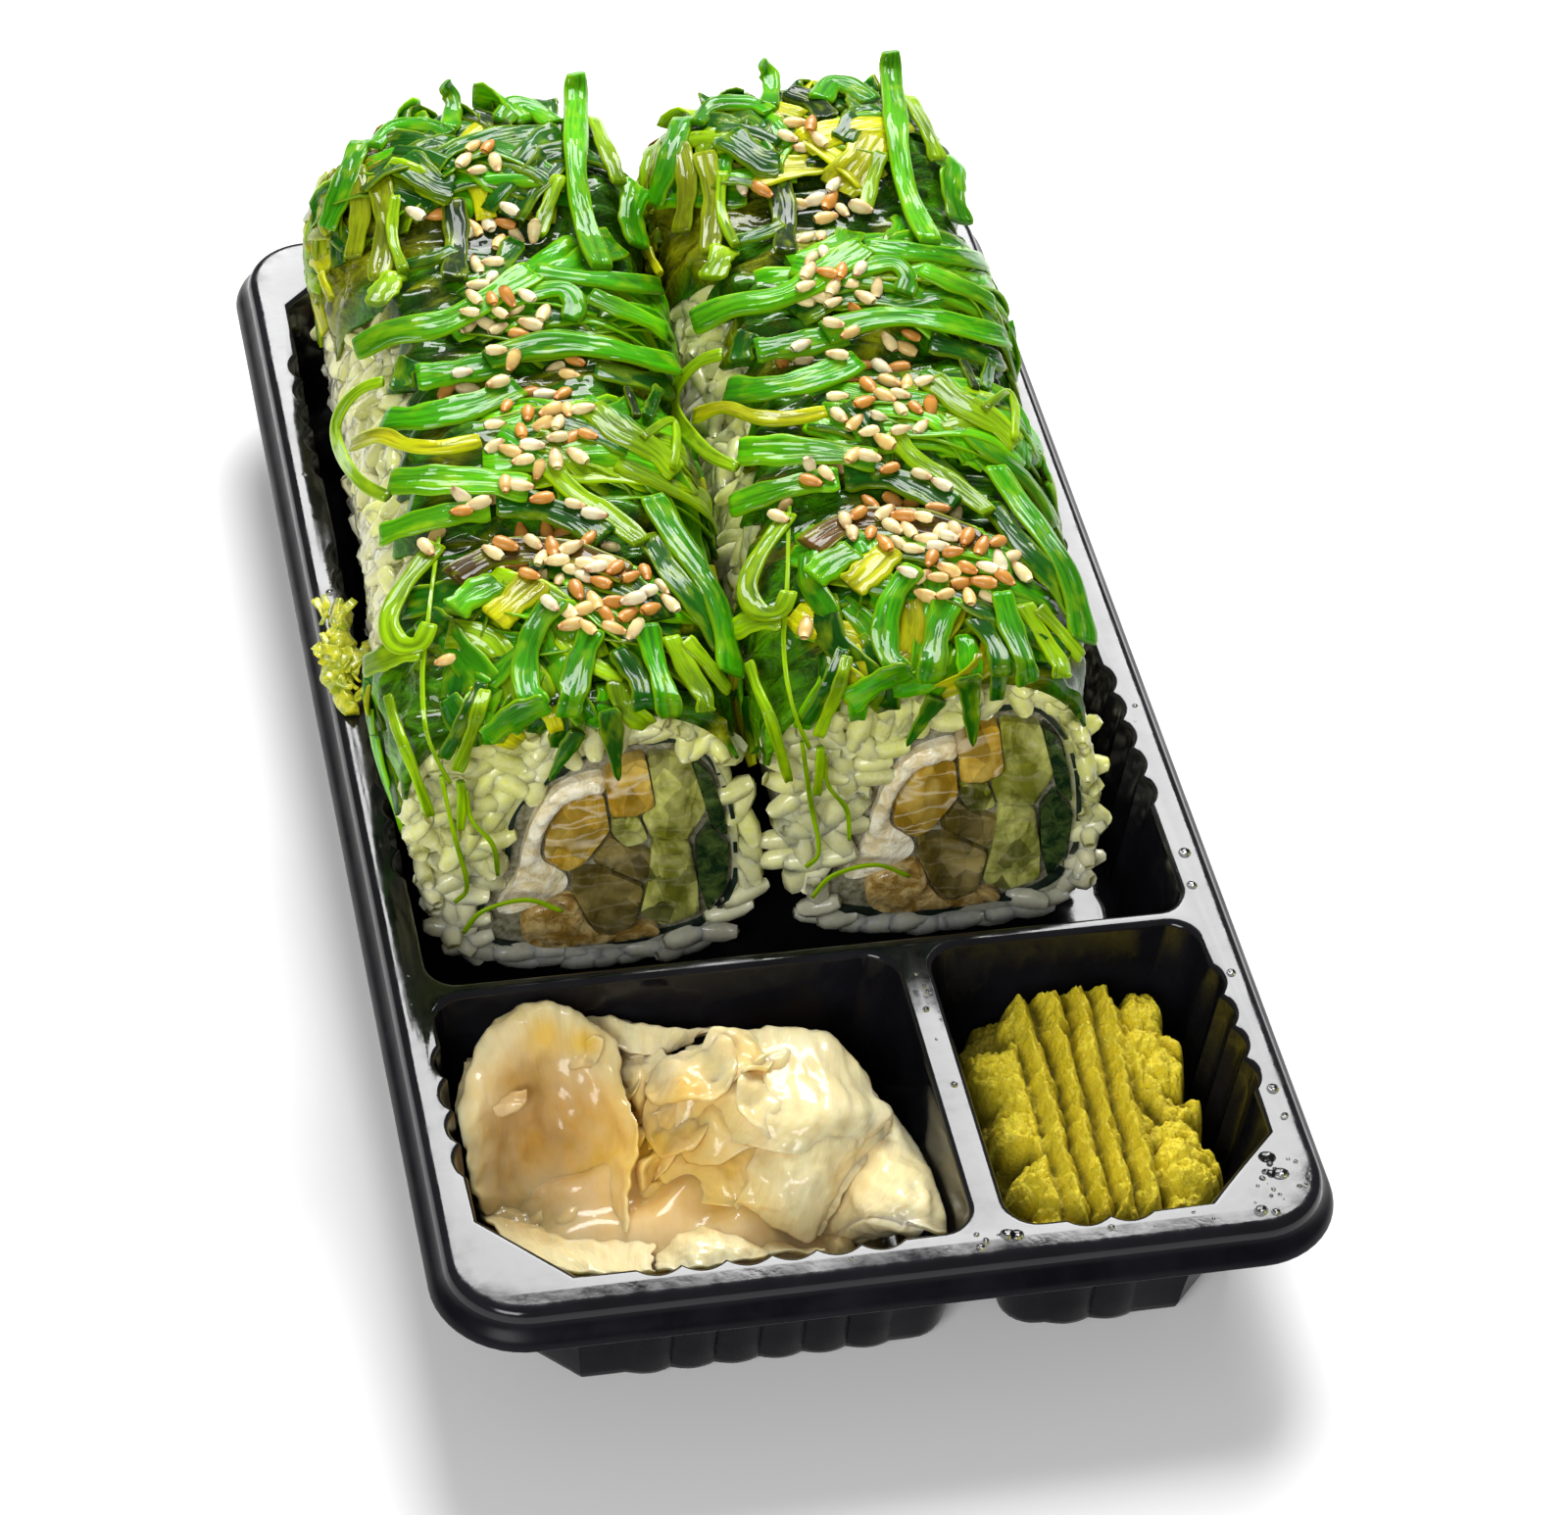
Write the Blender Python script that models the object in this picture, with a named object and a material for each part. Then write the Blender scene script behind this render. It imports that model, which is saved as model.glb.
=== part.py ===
"""Takeaway sushi tray: a black three-pocket tray with eight inside-out rolls under a
seaweed salad with sesame seeds, pickled ginger and wasabi paste.

Lengths are in millimetres. MM turns them into Blender's metres where a mesh is made.
X runs across the tray, Y from front to back, Z up from the surface it stands on.
"""
import math
import random

import bmesh
import bpy
from mathutils import Matrix, Vector, noise
from mathutils.geometry import tessellate_polygon

MM = 0.001
GAP = 0.35

# Tray: flat rim, the skirt round it and the wall of the formed sheet
RIM_HALF_X = 56.0
RIM_HALF_Y = 108.6
RIM_RADIUS = 8.5
TRAY_HEIGHT = 24.0
SHEET = 0.7
FLOOR = 0.7
SKIRT_DROP = 5.0
SKIRT_OUT = 3.6

# Pockets: inner edges at the rim
POCKET_X = 52.4
FRONT_EDGE = -104.6
DIVIDER_FRONT = -54.7
DIVIDER_BACK = -52.3
BACK_EDGE = 105.0
GINGER_RIGHT = 10.3
WASABI_LEFT = 15.0
POCKET_RADIUS = 4.5
CHAMFER = 11.0
DRAFT = 2.0

# Flutes in the pocket walls
FLUTE_PITCH = 5.82
FLUTE_DEPTH = 1.2
FLUTE_STEPS = 3
SIDE_GROUPS = ((-31.8, 5), (9.4, 5), (53.0, 5))
BACK_GROUPS = ((-35.0, 4), (11.7, 4))
GINGER_FRONT_GROUP = ((-33.9, 6),)
WASABI_FRONT_GROUP = ((22.2, 2),)
POCKET_SIDE_GROUP = ((-86.4, 4),)

# Rolls: two rows of four, cut from one log each; the front ones lean to the left, the rear ones stand
ROW_X = (-23.7, 25.2)
ROW_NAMES = ("left", "right")
ROLLS_PER_ROW = 4
ROLL_BASE = 1.05
ROLL_HALF_WIDTH = 23.8
ROLL_HALF_HEIGHT = 25.6
ROLL_SQUARENESS = 3.3
FRONT_LEAN = math.tan(math.radians(9.0))
UPRIGHT_FROM = 88.0
ROLL_FRONT = -32.0
ROLL_PITCH = 32.2
ROLL_CUT = 1.1
RICE_BUMP = 0.9
EDGE_ROUND = 1.6
FRONT_SIDES = 36
REAR_SIDES = 28
NORI_THICKNESS = 0.8

# Filling seen at the front cut: (across, up) from the middle of the roll's base
NORI_LOOP = (
    (-4.0, 38.0), (4.0, 42.4), (12.5, 43.6), (18.0, 40.5), (20.6, 33.0), (21.0, 24.0),
    (19.6, 14.0), (14.0, 7.0), (2.0, 5.0), (-9.5, 5.4), (-17.2, 9.0), (-15.6, 16.0),
    (-11.6, 23.0), (-9.4, 31.0),
)
FILLINGS = {
    "cheese": (
        (3.6, 38.2), (-1.8, 36.6), (-5.6, 32.6), (-8.2, 26.5), (-10.2, 20.0), (-13.6, 14.4),
        (-10.6, 13.6), (-4.4, 16.8), (-3.6, 20.0), (-6.4, 23.4), (-5.6, 28.0), (-3.2, 32.2),
        (-0.2, 34.6), (3.6, 35.4),
    ),
    "squash_left": (
        (-5.2, 27.4), (-2.6, 31.9), (0.2, 34.2), (3.5, 34.9), (3.5, 27.8), (-0.9, 21.9),
        (-3.4, 21.0), (-5.8, 23.8),
    ),
    "squash_top": ((4.2, 38.6), (7.6, 40.8), (10.0, 41.2), (10.2, 32.4), (7.6, 30.8), (4.2, 31.2)),
    "cucumber_top": (
        (10.5, 41.2), (16.0, 40.0), (17.2, 30.2), (14.0, 24.8), (9.2, 26.0), (8.4, 30.2), (10.6, 31.6),
    ),
    "skin_top": ((16.5, 39.9), (18.4, 37.0), (19.4, 31.0), (19.6, 25.0), (17.6, 28.0)),
    "cucumber_middle": ((4.2, 30.6), (7.8, 30.0), (8.6, 25.9), (5.6, 24.8), (4.0, 27.6)),
    "radish_upper": ((5.2, 24.3), (9.0, 22.2), (7.2, 17.2), (3.0, 20.4), (0.6, 22.4), (3.6, 26.6)),
    "radish_lower": (
        (2.6, 20.0), (6.8, 16.6), (4.6, 9.4), (0.8, 8.0), (-1.2, 11.0), (-2.8, 17.0), (-2.6, 20.4),
    ),
    "skin_low": ((15.2, 23.4), (17.6, 26.8), (19.6, 22.6), (18.2, 14.6), (15.4, 10.4), (14.8, 16.4)),
    "cucumber_low": (
        (9.4, 25.2), (14.2, 24.0), (14.4, 16.0), (14.0, 10.2), (9.0, 8.6), (6.0, 10.8), (7.6, 16.4),
    ),
    "tofu": (
        (-10.2, 13.0), (-3.4, 15.6), (-1.8, 10.6), (0.4, 7.6), (4.4, 8.4), (7.8, 8.0), (6.0, 6.6), (-8.8, 6.8),
    ),
}
FILLING_INSET = 0.28

# Seaweed salad on each row
SEAWEED_ACROSS = 9
SEAWEED_ALONG = 17
SEAWEED_HEMS = ((math.radians(172.0), math.radians(20.0)), (math.radians(160.0), math.radians(8.0)))
SEAM_HALF = 24.1
SEAWEED_STRIPS = 9
SEAWEED_SEEDS = 15
SEED_SIZE = (1.75, 1.1, 0.8)

# Ginger slices: middle x, y, half length, half width, turn, top height
GINGER_PIECES = {
    "ginger_hood": (-40.8, -79.5, 21.0, 10.8, 93.0, 22.4),
    "ginger_crumple": (-8.8, -79.0, 17.6, 17.0, -8.0, 22.2),
    "ginger_middle": (-27.6, -66.6, 5.2, 1.9, 82.0, 17.0),
    "ginger_strip": (-19.0, -59.3, 8.6, 1.7, -4.0, 18.5),
    "ginger_front": (-23.6, -99.6, 7.6, 2.9, 3.0, 14.5),
}

# Wasabi paste: outline in its pocket, and the comb ridges that run from back to front
WASABI_MIDDLE_TOP = 17.6
WASABI_EDGE_TOP = 13.0
WASABI_BACK = -57.2
WASABI_FRONT = -100.6
WASABI_ROWS = 12
RIDGE_COUNT = 5
RIDGE_PITCH = 3.75
RIDGE_DEPTH = 2.4
RIDGE_FIRST_X = 24.4


def clear_scene():
    """Start from an empty file."""
    for item in list(bpy.data.objects):
        bpy.data.objects.remove(item, do_unlink=True)


def material(name, colour, roughness, metallic=0.0, transmission=0.0):
    """A Principled material in one colour."""
    made = bpy.data.materials.new(name)
    made.use_nodes = True
    shader = made.node_tree.nodes["Principled BSDF"]
    shader.inputs["Base Color"].default_value = (*colour, 1.0)
    shader.inputs["Roughness"].default_value = roughness
    shader.inputs["Metallic"].default_value = metallic
    shader.inputs["Transmission Weight"].default_value = transmission
    made.diffuse_color = (*colour, 1.0)
    return made


def mesh_object(name, points, faces, finish, smooth_angle=40.0):
    """An object from points in millimetres, with its faces turned outward."""
    mesh = bpy.data.meshes.new(name)
    mesh.from_pydata([Vector(point) * MM for point in points], [], faces)
    shape = bmesh.new()
    shape.from_mesh(mesh)
    bmesh.ops.recalc_face_normals(shape, faces=shape.faces)
    bmesh.ops.triangulate(shape, faces=shape.faces)
    shape.to_mesh(mesh)
    shape.free()
    mesh.shade_smooth()
    mesh.set_sharp_from_angle(angle=math.radians(smooth_angle))
    made = bpy.data.objects.new(name, mesh)
    made.data.materials.append(finish)
    bpy.context.collection.objects.link(made)
    return made


def bridge(first, second, count):
    """Quads between two closed loops of the same count, given by their first indices."""
    quads = []
    for step in range(count):
        following = (step + 1) % count
        quads.append((first + step, first + following, second + following, second + step))
    return quads


def signed_power(value, power):
    """A power that keeps the sign."""
    return math.copysign(abs(value) ** power, value)


def arc(centre_x, centre_y, radius, start, steps):
    """Points of a quarter circle that starts at an angle in degrees, ends included."""
    points = []
    for step in range(steps + 1):
        angle = math.radians(start + 90.0 * step / steps)
        points.append((centre_x + radius * math.cos(angle), centre_y + radius * math.sin(angle)))
    return points


def rounded_rectangle(half_x, half_y, radius, steps):
    """A rounded rectangle round the origin, counter-clockwise."""
    points = []
    for sign_x, sign_y, start in ((1, -1, -90.0), (1, 1, 0.0), (-1, 1, 90.0), (-1, -1, 180.0)):
        points += arc(sign_x * (half_x - radius), sign_y * (half_y - radius), radius, start, steps)
    return points


def fluted_side(groups, forward):
    """Along one straight wall: places and outward bulges of its flutes, in walking order."""
    points = []
    for start, count in groups:
        for step in range(count * FLUTE_STEPS + 1):
            turn = math.pi * step / FLUTE_STEPS
            points.append((start + FLUTE_PITCH * step / FLUTE_STEPS, FLUTE_DEPTH * abs(math.sin(turn))))
    if not forward:
        points.reverse()
    return points


def pocket_outline(pocket, inset, bulge):
    """The pocket's outline pulled in by inset, its flutes scaled by bulge, counter-clockwise."""
    left = pocket["left"] + inset
    right = pocket["right"] - inset
    front = pocket["front"] + inset
    back = pocket["back"] - inset
    corners = (
        (left, front, 180.0, "front_left"),
        (right, front, 270.0, "front_right"),
        (right, back, 0.0, "back_right"),
        (left, back, 90.0, "back_left"),
    )
    walls = {
        "front_left": [(place, front - bulge * out) for place, out in fluted_side(pocket["front_flutes"], True)],
        "front_right": [(right + bulge * out, place) for place, out in fluted_side(pocket["right_flutes"], True)],
        "back_right": [(place, back + bulge * out) for place, out in fluted_side(pocket["back_flutes"], False)],
        "back_left": [(left - bulge * out, place) for place, out in fluted_side(pocket["left_flutes"], False)],
    }
    points = []
    for x, y, start, name in corners:
        inward_x = 1.0 if x == left else -1.0
        inward_y = 1.0 if y == front else -1.0
        if name in pocket["chamfered"]:
            along_x = (x + inward_x * CHAMFER, y)
            along_y = (x, y + inward_y * CHAMFER)
            points += [along_y, along_x] if name in ("front_left", "back_right") else [along_x, along_y]
        else:
            centre_x = x + inward_x * POCKET_RADIUS
            centre_y = y + inward_y * POCKET_RADIUS
            points += arc(centre_x, centre_y, POCKET_RADIUS, start, 3)
        points += walls[name]
    return points


def pockets():
    """The three pockets: main at the back, ginger front left and wasabi front right."""
    main = {
        "left": -POCKET_X, "right": POCKET_X, "front": DIVIDER_BACK, "back": BACK_EDGE,
        "front_flutes": (), "right_flutes": SIDE_GROUPS, "back_flutes": BACK_GROUPS,
        "left_flutes": SIDE_GROUPS, "chamfered": ("back_left", "back_right"),
    }
    ginger = {
        "left": -POCKET_X, "right": GINGER_RIGHT, "front": FRONT_EDGE, "back": DIVIDER_FRONT,
        "front_flutes": GINGER_FRONT_GROUP, "right_flutes": (), "back_flutes": (),
        "left_flutes": POCKET_SIDE_GROUP, "chamfered": ("front_left",),
    }
    wasabi = {
        "left": WASABI_LEFT, "right": POCKET_X, "front": FRONT_EDGE, "back": DIVIDER_FRONT,
        "front_flutes": WASABI_FRONT_GROUP, "right_flutes": POCKET_SIDE_GROUP, "back_flutes": (),
        "left_flutes": (), "chamfered": ("front_right",),
    }
    return (main, ginger, wasabi)


def skirt_profile():
    """(outward, height) down the outside of the skirt and up its inside."""
    top = TRAY_HEIGHT
    outside = ((0.0, top), (1.3, top - 0.5), (1.9, top - 2.2), (2.7, top - 3.3), (SKIRT_OUT, top - SKIRT_DROP))
    inside = (
        (SKIRT_OUT - 0.6, top - SKIRT_DROP - 0.3), (2.1, top - 3.8), (1.25, top - 2.7),
        (0.7, top - 1.15), (0.0, top - SHEET),
    )
    return outside + inside


def tray_part(finish):
    """The formed sheet: flat rim, skirt, and three fluted pockets, one closed solid."""
    points = []
    faces = []

    def add_loop(outline, height):
        first = len(points)
        points.extend((x, y, height) for x, y in outline)
        return first

    skirt_loops = []
    for outward, height in skirt_profile():
        outline = rounded_rectangle(RIM_HALF_X + outward, RIM_HALF_Y + outward, RIM_RADIUS + outward, 5)
        skirt_loops.append((add_loop(outline, height), len(outline)))
    for (first, count), (second, _) in zip(skirt_loops, skirt_loops[1:]):
        faces += bridge(first, second, count)

    inner_levels = ((0.0, TRAY_HEIGHT, 1.0), (DRAFT, 3.4, 0.85), (DRAFT + 0.9, 1.5, 0.6), (DRAFT + 2.6, FLOOR, 0.3))
    outer_levels = (
        (-SHEET, TRAY_HEIGHT - SHEET, 1.0), (DRAFT - SHEET, 3.1, 0.85), (DRAFT + 0.5, 0.9, 0.6),
        (DRAFT + 2.3, 0.0, 0.3),
    )
    holes = ([], [])
    for pocket in pockets():
        for side, levels in enumerate((inner_levels, outer_levels)):
            loops = []
            for inset, height, bulge in levels:
                outline = pocket_outline(pocket, inset, bulge)
                loops.append(add_loop(outline, height))
            for first, second in zip(loops, loops[1:]):
                faces += bridge(first, second, len(outline))
            holes[side].append((loops[0], len(outline)))
            faces += filled([(loops[-1], len(outline))], points)
    top_loops = [skirt_loops[0]] + holes[0]
    under_loops = [skirt_loops[-1]] + holes[1]
    faces += filled(top_loops, points)
    faces += filled(under_loops, points)
    return mesh_object("tray", points, faces, finish, 50.0)


def filled(loops, points):
    """Triangles of a flat face whose first loop is its edge and the others are its holes."""
    indices = [first + step for first, count in loops for step in range(count)]
    outlines = [[Vector(points[first + step]) for step in range(count)] for first, count in loops]
    return [tuple(indices[corner] for corner in face) for face in tessellate_polygon(outlines)]


def roll_lean(y):
    """Sideways lean of the rows at distance y, in millimetres for each one of height."""
    return FRONT_LEAN * min(1.0, max(0.0, (UPRIGHT_FROM - y) / (UPRIGHT_FROM - ROLL_FRONT)))


def row_point(row, angle, y, lift=0.0):
    """A point of a row's cross-section at an angle, lifted off its surface."""
    width = ROLL_HALF_WIDTH + 0.35 * math.sin(0.11 * y + 2.0 * row)
    height = ROLL_HALF_HEIGHT + (0.5 * math.sin(0.09 * y + 1.3 * row) if math.sin(angle) > 0.0 else 0.0)
    across = (width + lift) * signed_power(math.cos(angle), 2.0 / ROLL_SQUARENESS)
    up = (height + lift) * signed_power(math.sin(angle), 2.0 / ROLL_SQUARENESS)
    z = ROLL_BASE + ROLL_HALF_HEIGHT + up
    return Vector((ROW_X[row] + across - roll_lean(y) * (z - ROLL_BASE), y, z))


def even_angles(count):
    """Angles that place points evenly round a roll's cross-section, anticlockwise."""
    fine = 720
    lengths = [0.0]
    previous = row_point(0, 0.0, 0.0)
    for step in range(1, fine + 1):
        current = row_point(0, 2.0 * math.pi * step / fine, 0.0)
        lengths.append(lengths[-1] + (current - previous).length)
        previous = current
    angles = []
    place = 0
    for step in range(count):
        target = lengths[-1] * step / count
        while lengths[place] < target:
            place += 1
        angles.append(2.0 * math.pi * place / fine)
    return angles


def roll_loops(row, number, sides):
    """Cross-section loops of one roll from front to back, bumpy with rice."""
    front = ROLL_FRONT + number * ROLL_PITCH
    back = front + ROLL_PITCH - ROLL_CUT
    stations = (
        (front, EDGE_ROUND), (front + EDGE_ROUND, 0.0), (front + 0.5 * (back - front), 0.0),
        (back - EDGE_ROUND, 0.0), (back, EDGE_ROUND),
    )
    loops = []
    for y, shrink in stations:
        loop = []
        for angle in even_angles(sides):
            surface = row_point(row, angle, y)
            bump = 0.5 + 0.5 * noise.noise(surface * 0.37 + Vector((0.0, 0.0, 7.0 * row)))
            loop.append(row_point(row, angle, y, -shrink - RICE_BUMP * bump))
        loops.append(loop)
    return loops


def rear_roll(row, number, finish):
    """A whole roll behind the front one, a solid log of rice."""
    points = []
    faces = []
    loops = roll_loops(row, number, REAR_SIDES)
    for loop in loops:
        points += loop
    for place in range(len(loops) - 1):
        faces += bridge(place * REAR_SIDES, (place + 1) * REAR_SIDES, REAR_SIDES)
    faces.append(tuple(range(REAR_SIDES)))
    faces.append(tuple(range(len(points) - REAR_SIDES, len(points))))
    return mesh_object(f"roll_{ROW_NAMES[row]}_{number + 1}", points, faces, finish)


def smooth_loop(corners, steps):
    """A closed curve through the corners, with a few steps between each two."""
    count = len(corners)
    points = []
    for place in range(count):
        before, start, end, after = (Vector(corners[(place + shift) % count]) for shift in (-1, 0, 1, 2))
        for step in range(steps):
            t = step / steps
            linear = 0.5 * (end - before)
            square = before - 2.5 * start + 2.0 * end - 0.5 * after
            cube = 0.5 * (after - before) + 1.5 * (start - end)
            points.append(start + linear * t + square * t * t + cube * t * t * t)
    return points


def offset_loop(loop, distance):
    """The loop moved outward by distance; a negative distance moves it inward."""
    count = len(loop)
    area = sum(loop[i].x * loop[(i + 1) % count].y - loop[(i + 1) % count].x * loop[i].y for i in range(count))
    turn = 1.0 if area > 0.0 else -1.0
    moved = []
    for place, point in enumerate(loop):
        into = (point - loop[place - 1]).normalized()
        out_of = (loop[(place + 1) % count] - point).normalized()
        normals = [Vector((edge.y, -edge.x)) * turn for edge in (into, out_of)]
        middle = (normals[0] + normals[1]).normalized()
        reach = distance / max(0.5, middle.dot(normals[0]))
        moved.append(point + middle * reach)
    return moved


def cut_point(row, place, y):
    """A point of the filling, given across and up from the roll's base, at distance y."""
    return Vector((ROW_X[row] + place.x - roll_lean(y) * place.y, y, ROLL_BASE + place.y))


def tube_between(name, row, outer, inner, front, back, finish):
    """A ring that runs through the roll, between two loops of the same count."""
    points = []
    faces = []
    count = len(outer)
    for y, loop in ((front, outer), (back, outer), (back, inner), (front, inner)):
        points += [cut_point(row, place, y) for place in loop]
    for place in range(4):
        faces += bridge(place * count, ((place + 1) % 4) * count, count)
    return mesh_object(name, points, faces, finish)


def front_roll(row, finishes):
    """The front roll of a row: rice, seaweed sheet and each filling as its own solid."""
    label = f"roll_{ROW_NAMES[row]}_1"
    loops = roll_loops(row, 0, FRONT_SIDES)
    front = loops[0][0].y
    back = loops[-1][0].y
    ring = smooth_loop(NORI_LOOP, 2)
    hole = offset_loop(ring, GAP)
    points = []
    faces = []
    for loop in loops:
        points += loop
    for place in range(len(loops) - 1):
        faces += bridge(place * FRONT_SIDES, (place + 1) * FRONT_SIDES, FRONT_SIDES)
    hole_front = len(points)
    points += [cut_point(row, place, front) for place in hole]
    hole_back = len(points)
    points += [cut_point(row, place, back) for place in hole]
    faces += bridge(hole_front, hole_back, len(hole))
    faces += filled([(0, FRONT_SIDES), (hole_front, len(hole))], points)
    last = (len(loops) - 1) * FRONT_SIDES
    faces += filled([(last, FRONT_SIDES), (hole_back, len(hole))], points)
    mesh_object(f"{label}_rice", points, faces, finishes["rice"])
    inner = offset_loop(ring, -NORI_THICKNESS)
    tube_between(f"{label}_nori", row, ring, inner, front + 0.3, back - 0.3, finishes["nori"])
    for number, (name, corners) in enumerate(FILLINGS.items()):
        outline = offset_loop([Vector(corner) for corner in corners], -FILLING_INSET)
        proud = 0.35 * math.sin(2.4 * number + row)
        points = [cut_point(row, place, front + 0.35 + proud) for place in outline]
        points += [cut_point(row, place, back - 0.4) for place in outline]
        count = len(outline)
        faces = bridge(0, count, count) + [tuple(range(count)), tuple(range(count, 2 * count))]
        mesh_object(f"{label}_{name}", points, faces, finishes[name.split("_")[0]])


def seaweed_lift(across, y, row):
    """Height of the seaweed over the rice: mounds on each roll, thin hems at the sides."""
    hem = math.sin(math.pi * min(1.0, max(0.0, across))) ** 0.6
    mound = 0.5 + 0.5 * math.cos(2.0 * math.pi * (y - ROLL_FRONT - 0.5 * ROLL_PITCH) / ROLL_PITCH)
    lump = noise.noise(Vector((9.0 * across, 0.13 * y, 3.0 * row)))
    return 1.3 + hem * (2.2 + 2.6 * mound + 1.9 * lump)


def seaweed_point(row, across, y, lift):
    """A point over a row, from its left hem, 0, to its right hem, 1, clear of the other row."""
    left_hem, right_hem = SEAWEED_HEMS[row]
    point = row_point(row, left_hem + (right_hem - left_hem) * across, y, lift)
    middle = ROW_X[row] - roll_lean(y) * (point.z - ROLL_BASE)
    if row == 0:
        point.x = min(point.x, middle + SEAM_HALF)
    else:
        point.x = max(point.x, middle - SEAM_HALF)
    return point


def seaweed_core(row, finish):
    """The dense blanket of seaweed that lies over a row of rolls."""
    points = []
    faces = []
    start = ROLL_FRONT - 0.8
    end = ROLL_FRONT + ROLLS_PER_ROW * ROLL_PITCH - ROLL_CUT + 0.8
    width = SEAWEED_ACROSS + 1
    for top in (True, False):
        for along in range(SEAWEED_ALONG + 1):
            y = start + (end - start) * along / SEAWEED_ALONG
            for place in range(width):
                across = place / SEAWEED_ACROSS
                lift = seaweed_lift(across, y, row) if top else GAP
                points.append(seaweed_point(row, across, y, lift))
    layer = width * (SEAWEED_ALONG + 1)
    for base in (0, layer):
        for along in range(SEAWEED_ALONG):
            for place in range(SEAWEED_ACROSS):
                corner = base + along * width + place
                faces.append((corner, corner + 1, corner + width + 1, corner + width))
    rim = [place for place in range(width)]
    rim += [along * width + width - 1 for along in range(1, SEAWEED_ALONG + 1)]
    rim += [SEAWEED_ALONG * width + place for place in range(width - 2, -1, -1)]
    rim += [along * width for along in range(SEAWEED_ALONG - 1, 0, -1)]
    for place, corner in enumerate(rim):
        following = rim[(place + 1) % len(rim)]
        faces.append((corner, following, following + layer, corner + layer))
    return mesh_object(f"seaweed_{ROW_NAMES[row]}", points, faces, finish)


def ribbon(path, width, thickness, side, finish):
    """A thin strip of seaweed along a path, its flat side turned by the side vector."""
    points = []
    faces = []
    for place, point in enumerate(path):
        ahead = path[min(place + 1, len(path) - 1)]
        behind = path[max(place - 1, 0)]
        along = (ahead - behind).normalized()
        across = (side - along * side.dot(along)).normalized()
        up = across.cross(along)
        for sign_x, sign_y in ((-1, -1), (1, -1), (1, 1), (-1, 1)):
            points.append(point + across * (0.5 * width * sign_x) + up * (0.5 * thickness * sign_y))
    for place in range(len(path) - 1):
        faces += bridge(4 * place, 4 * place + 4, 4)
    faces.append((0, 1, 2, 3))
    faces.append(tuple(range(len(points) - 4, len(points))))
    return mesh_object("strip", points, faces, finish)


def standing_strip(row):
    """The long strip that climbs the rear mound and stands up at its back."""
    path = []
    for step in range(7):
        t = step / 6
        y = 63.0 + 29.0 * t
        lift = seaweed_lift(0.72, y, row) + 0.6 + 5.5 * t * t
        path.append(seaweed_point(row, 0.70 + 0.03 * t, y, lift))
    return path


def side_loop(row):
    """The strip that bows out at the left of the second roll from the back."""
    path = []
    for step in range(8):
        turn = math.pi * (0.5 + step / 7)
        y = 43.0 + 9.5 * math.sin(turn)
        across = 0.20 + 0.13 * math.cos(turn)
        lift = seaweed_lift(across, y, row) + 0.4 - 1.9 * math.cos(turn)
        path.append(seaweed_point(row, across, y, lift))
    return path


def seaweed_strips(row, rng, finish):
    """Strips that stand out of the blanket: across the top and down over the front cut."""
    strips = []
    end = ROLL_FRONT + ROLLS_PER_ROW * ROLL_PITCH - ROLL_CUT
    for number in range(SEAWEED_STRIPS):
        y = ROLL_FRONT + 4.0 + (end - ROLL_FRONT - 8.0) * (number + rng.uniform(0.1, 0.9)) / SEAWEED_STRIPS
        start = rng.uniform(0.08, 0.45)
        reach = rng.uniform(0.3, 0.5)
        skew = rng.uniform(-9.0, 9.0)
        path = []
        for step in range(5):
            across = start + reach * step / 4
            place_y = y + skew * (step / 4 - 0.5)
            lift = seaweed_lift(across, place_y, row) + 0.5 + 1.3 * math.sin(math.pi * step / 4)
            path.append(seaweed_point(row, across, place_y, lift))
        strips.append(ribbon(path, rng.uniform(4.0, 6.0), 1.2, Vector((0.0, 1.0, 0.0)), finish))
    strips.append(ribbon(standing_strip(row), 4.6, 1.6, Vector((1.0, 0.0, 0.0)), finish))
    strips.append(ribbon(side_loop(row), 3.4, 1.3, Vector((0.0, 0.0, 1.0)), finish))
    for across, drop, width in ((0.30, 17.0, 3.6), (0.44, 9.0, 5.0), (0.55, 12.0, 5.0), (0.68, 8.0, 4.2)):
        top = seaweed_point(row, across, ROLL_FRONT + 3.0, 2.0)
        over = Vector((top.x, ROLL_FRONT - 1.6, top.z - 1.5))
        middle = Vector((top.x + 0.4, ROLL_FRONT - 1.5, top.z - 0.5 * drop))
        low = Vector((top.x + 0.8, ROLL_FRONT - 1.3, top.z - drop))
        strips.append(ribbon([top, over, middle, low], width, 1.1, Vector((1.0, 0.0, 0.0)), finish))
    return strips


def sesame_seed(place, rng, finish):
    """One sesame seed, a flat drop, lying at a random turn."""
    mesh = bpy.data.meshes.new("seed")
    shape = bmesh.new()
    bmesh.ops.create_icosphere(shape, subdivisions=1, radius=MM)
    turn = Matrix.Rotation(rng.uniform(0.0, math.pi), 4, "Z")
    tilt = Matrix.Rotation(rng.uniform(-0.4, 0.4), 4, "X")
    size = Matrix.Diagonal((*SEED_SIZE, 1.0))
    bmesh.ops.transform(shape, matrix=Matrix.Translation(place * MM) @ turn @ tilt @ size, verts=shape.verts)
    shape.to_mesh(mesh)
    shape.free()
    made = bpy.data.objects.new("seed", mesh)
    made.data.materials.append(finish)
    bpy.context.collection.objects.link(made)
    return made


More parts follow.
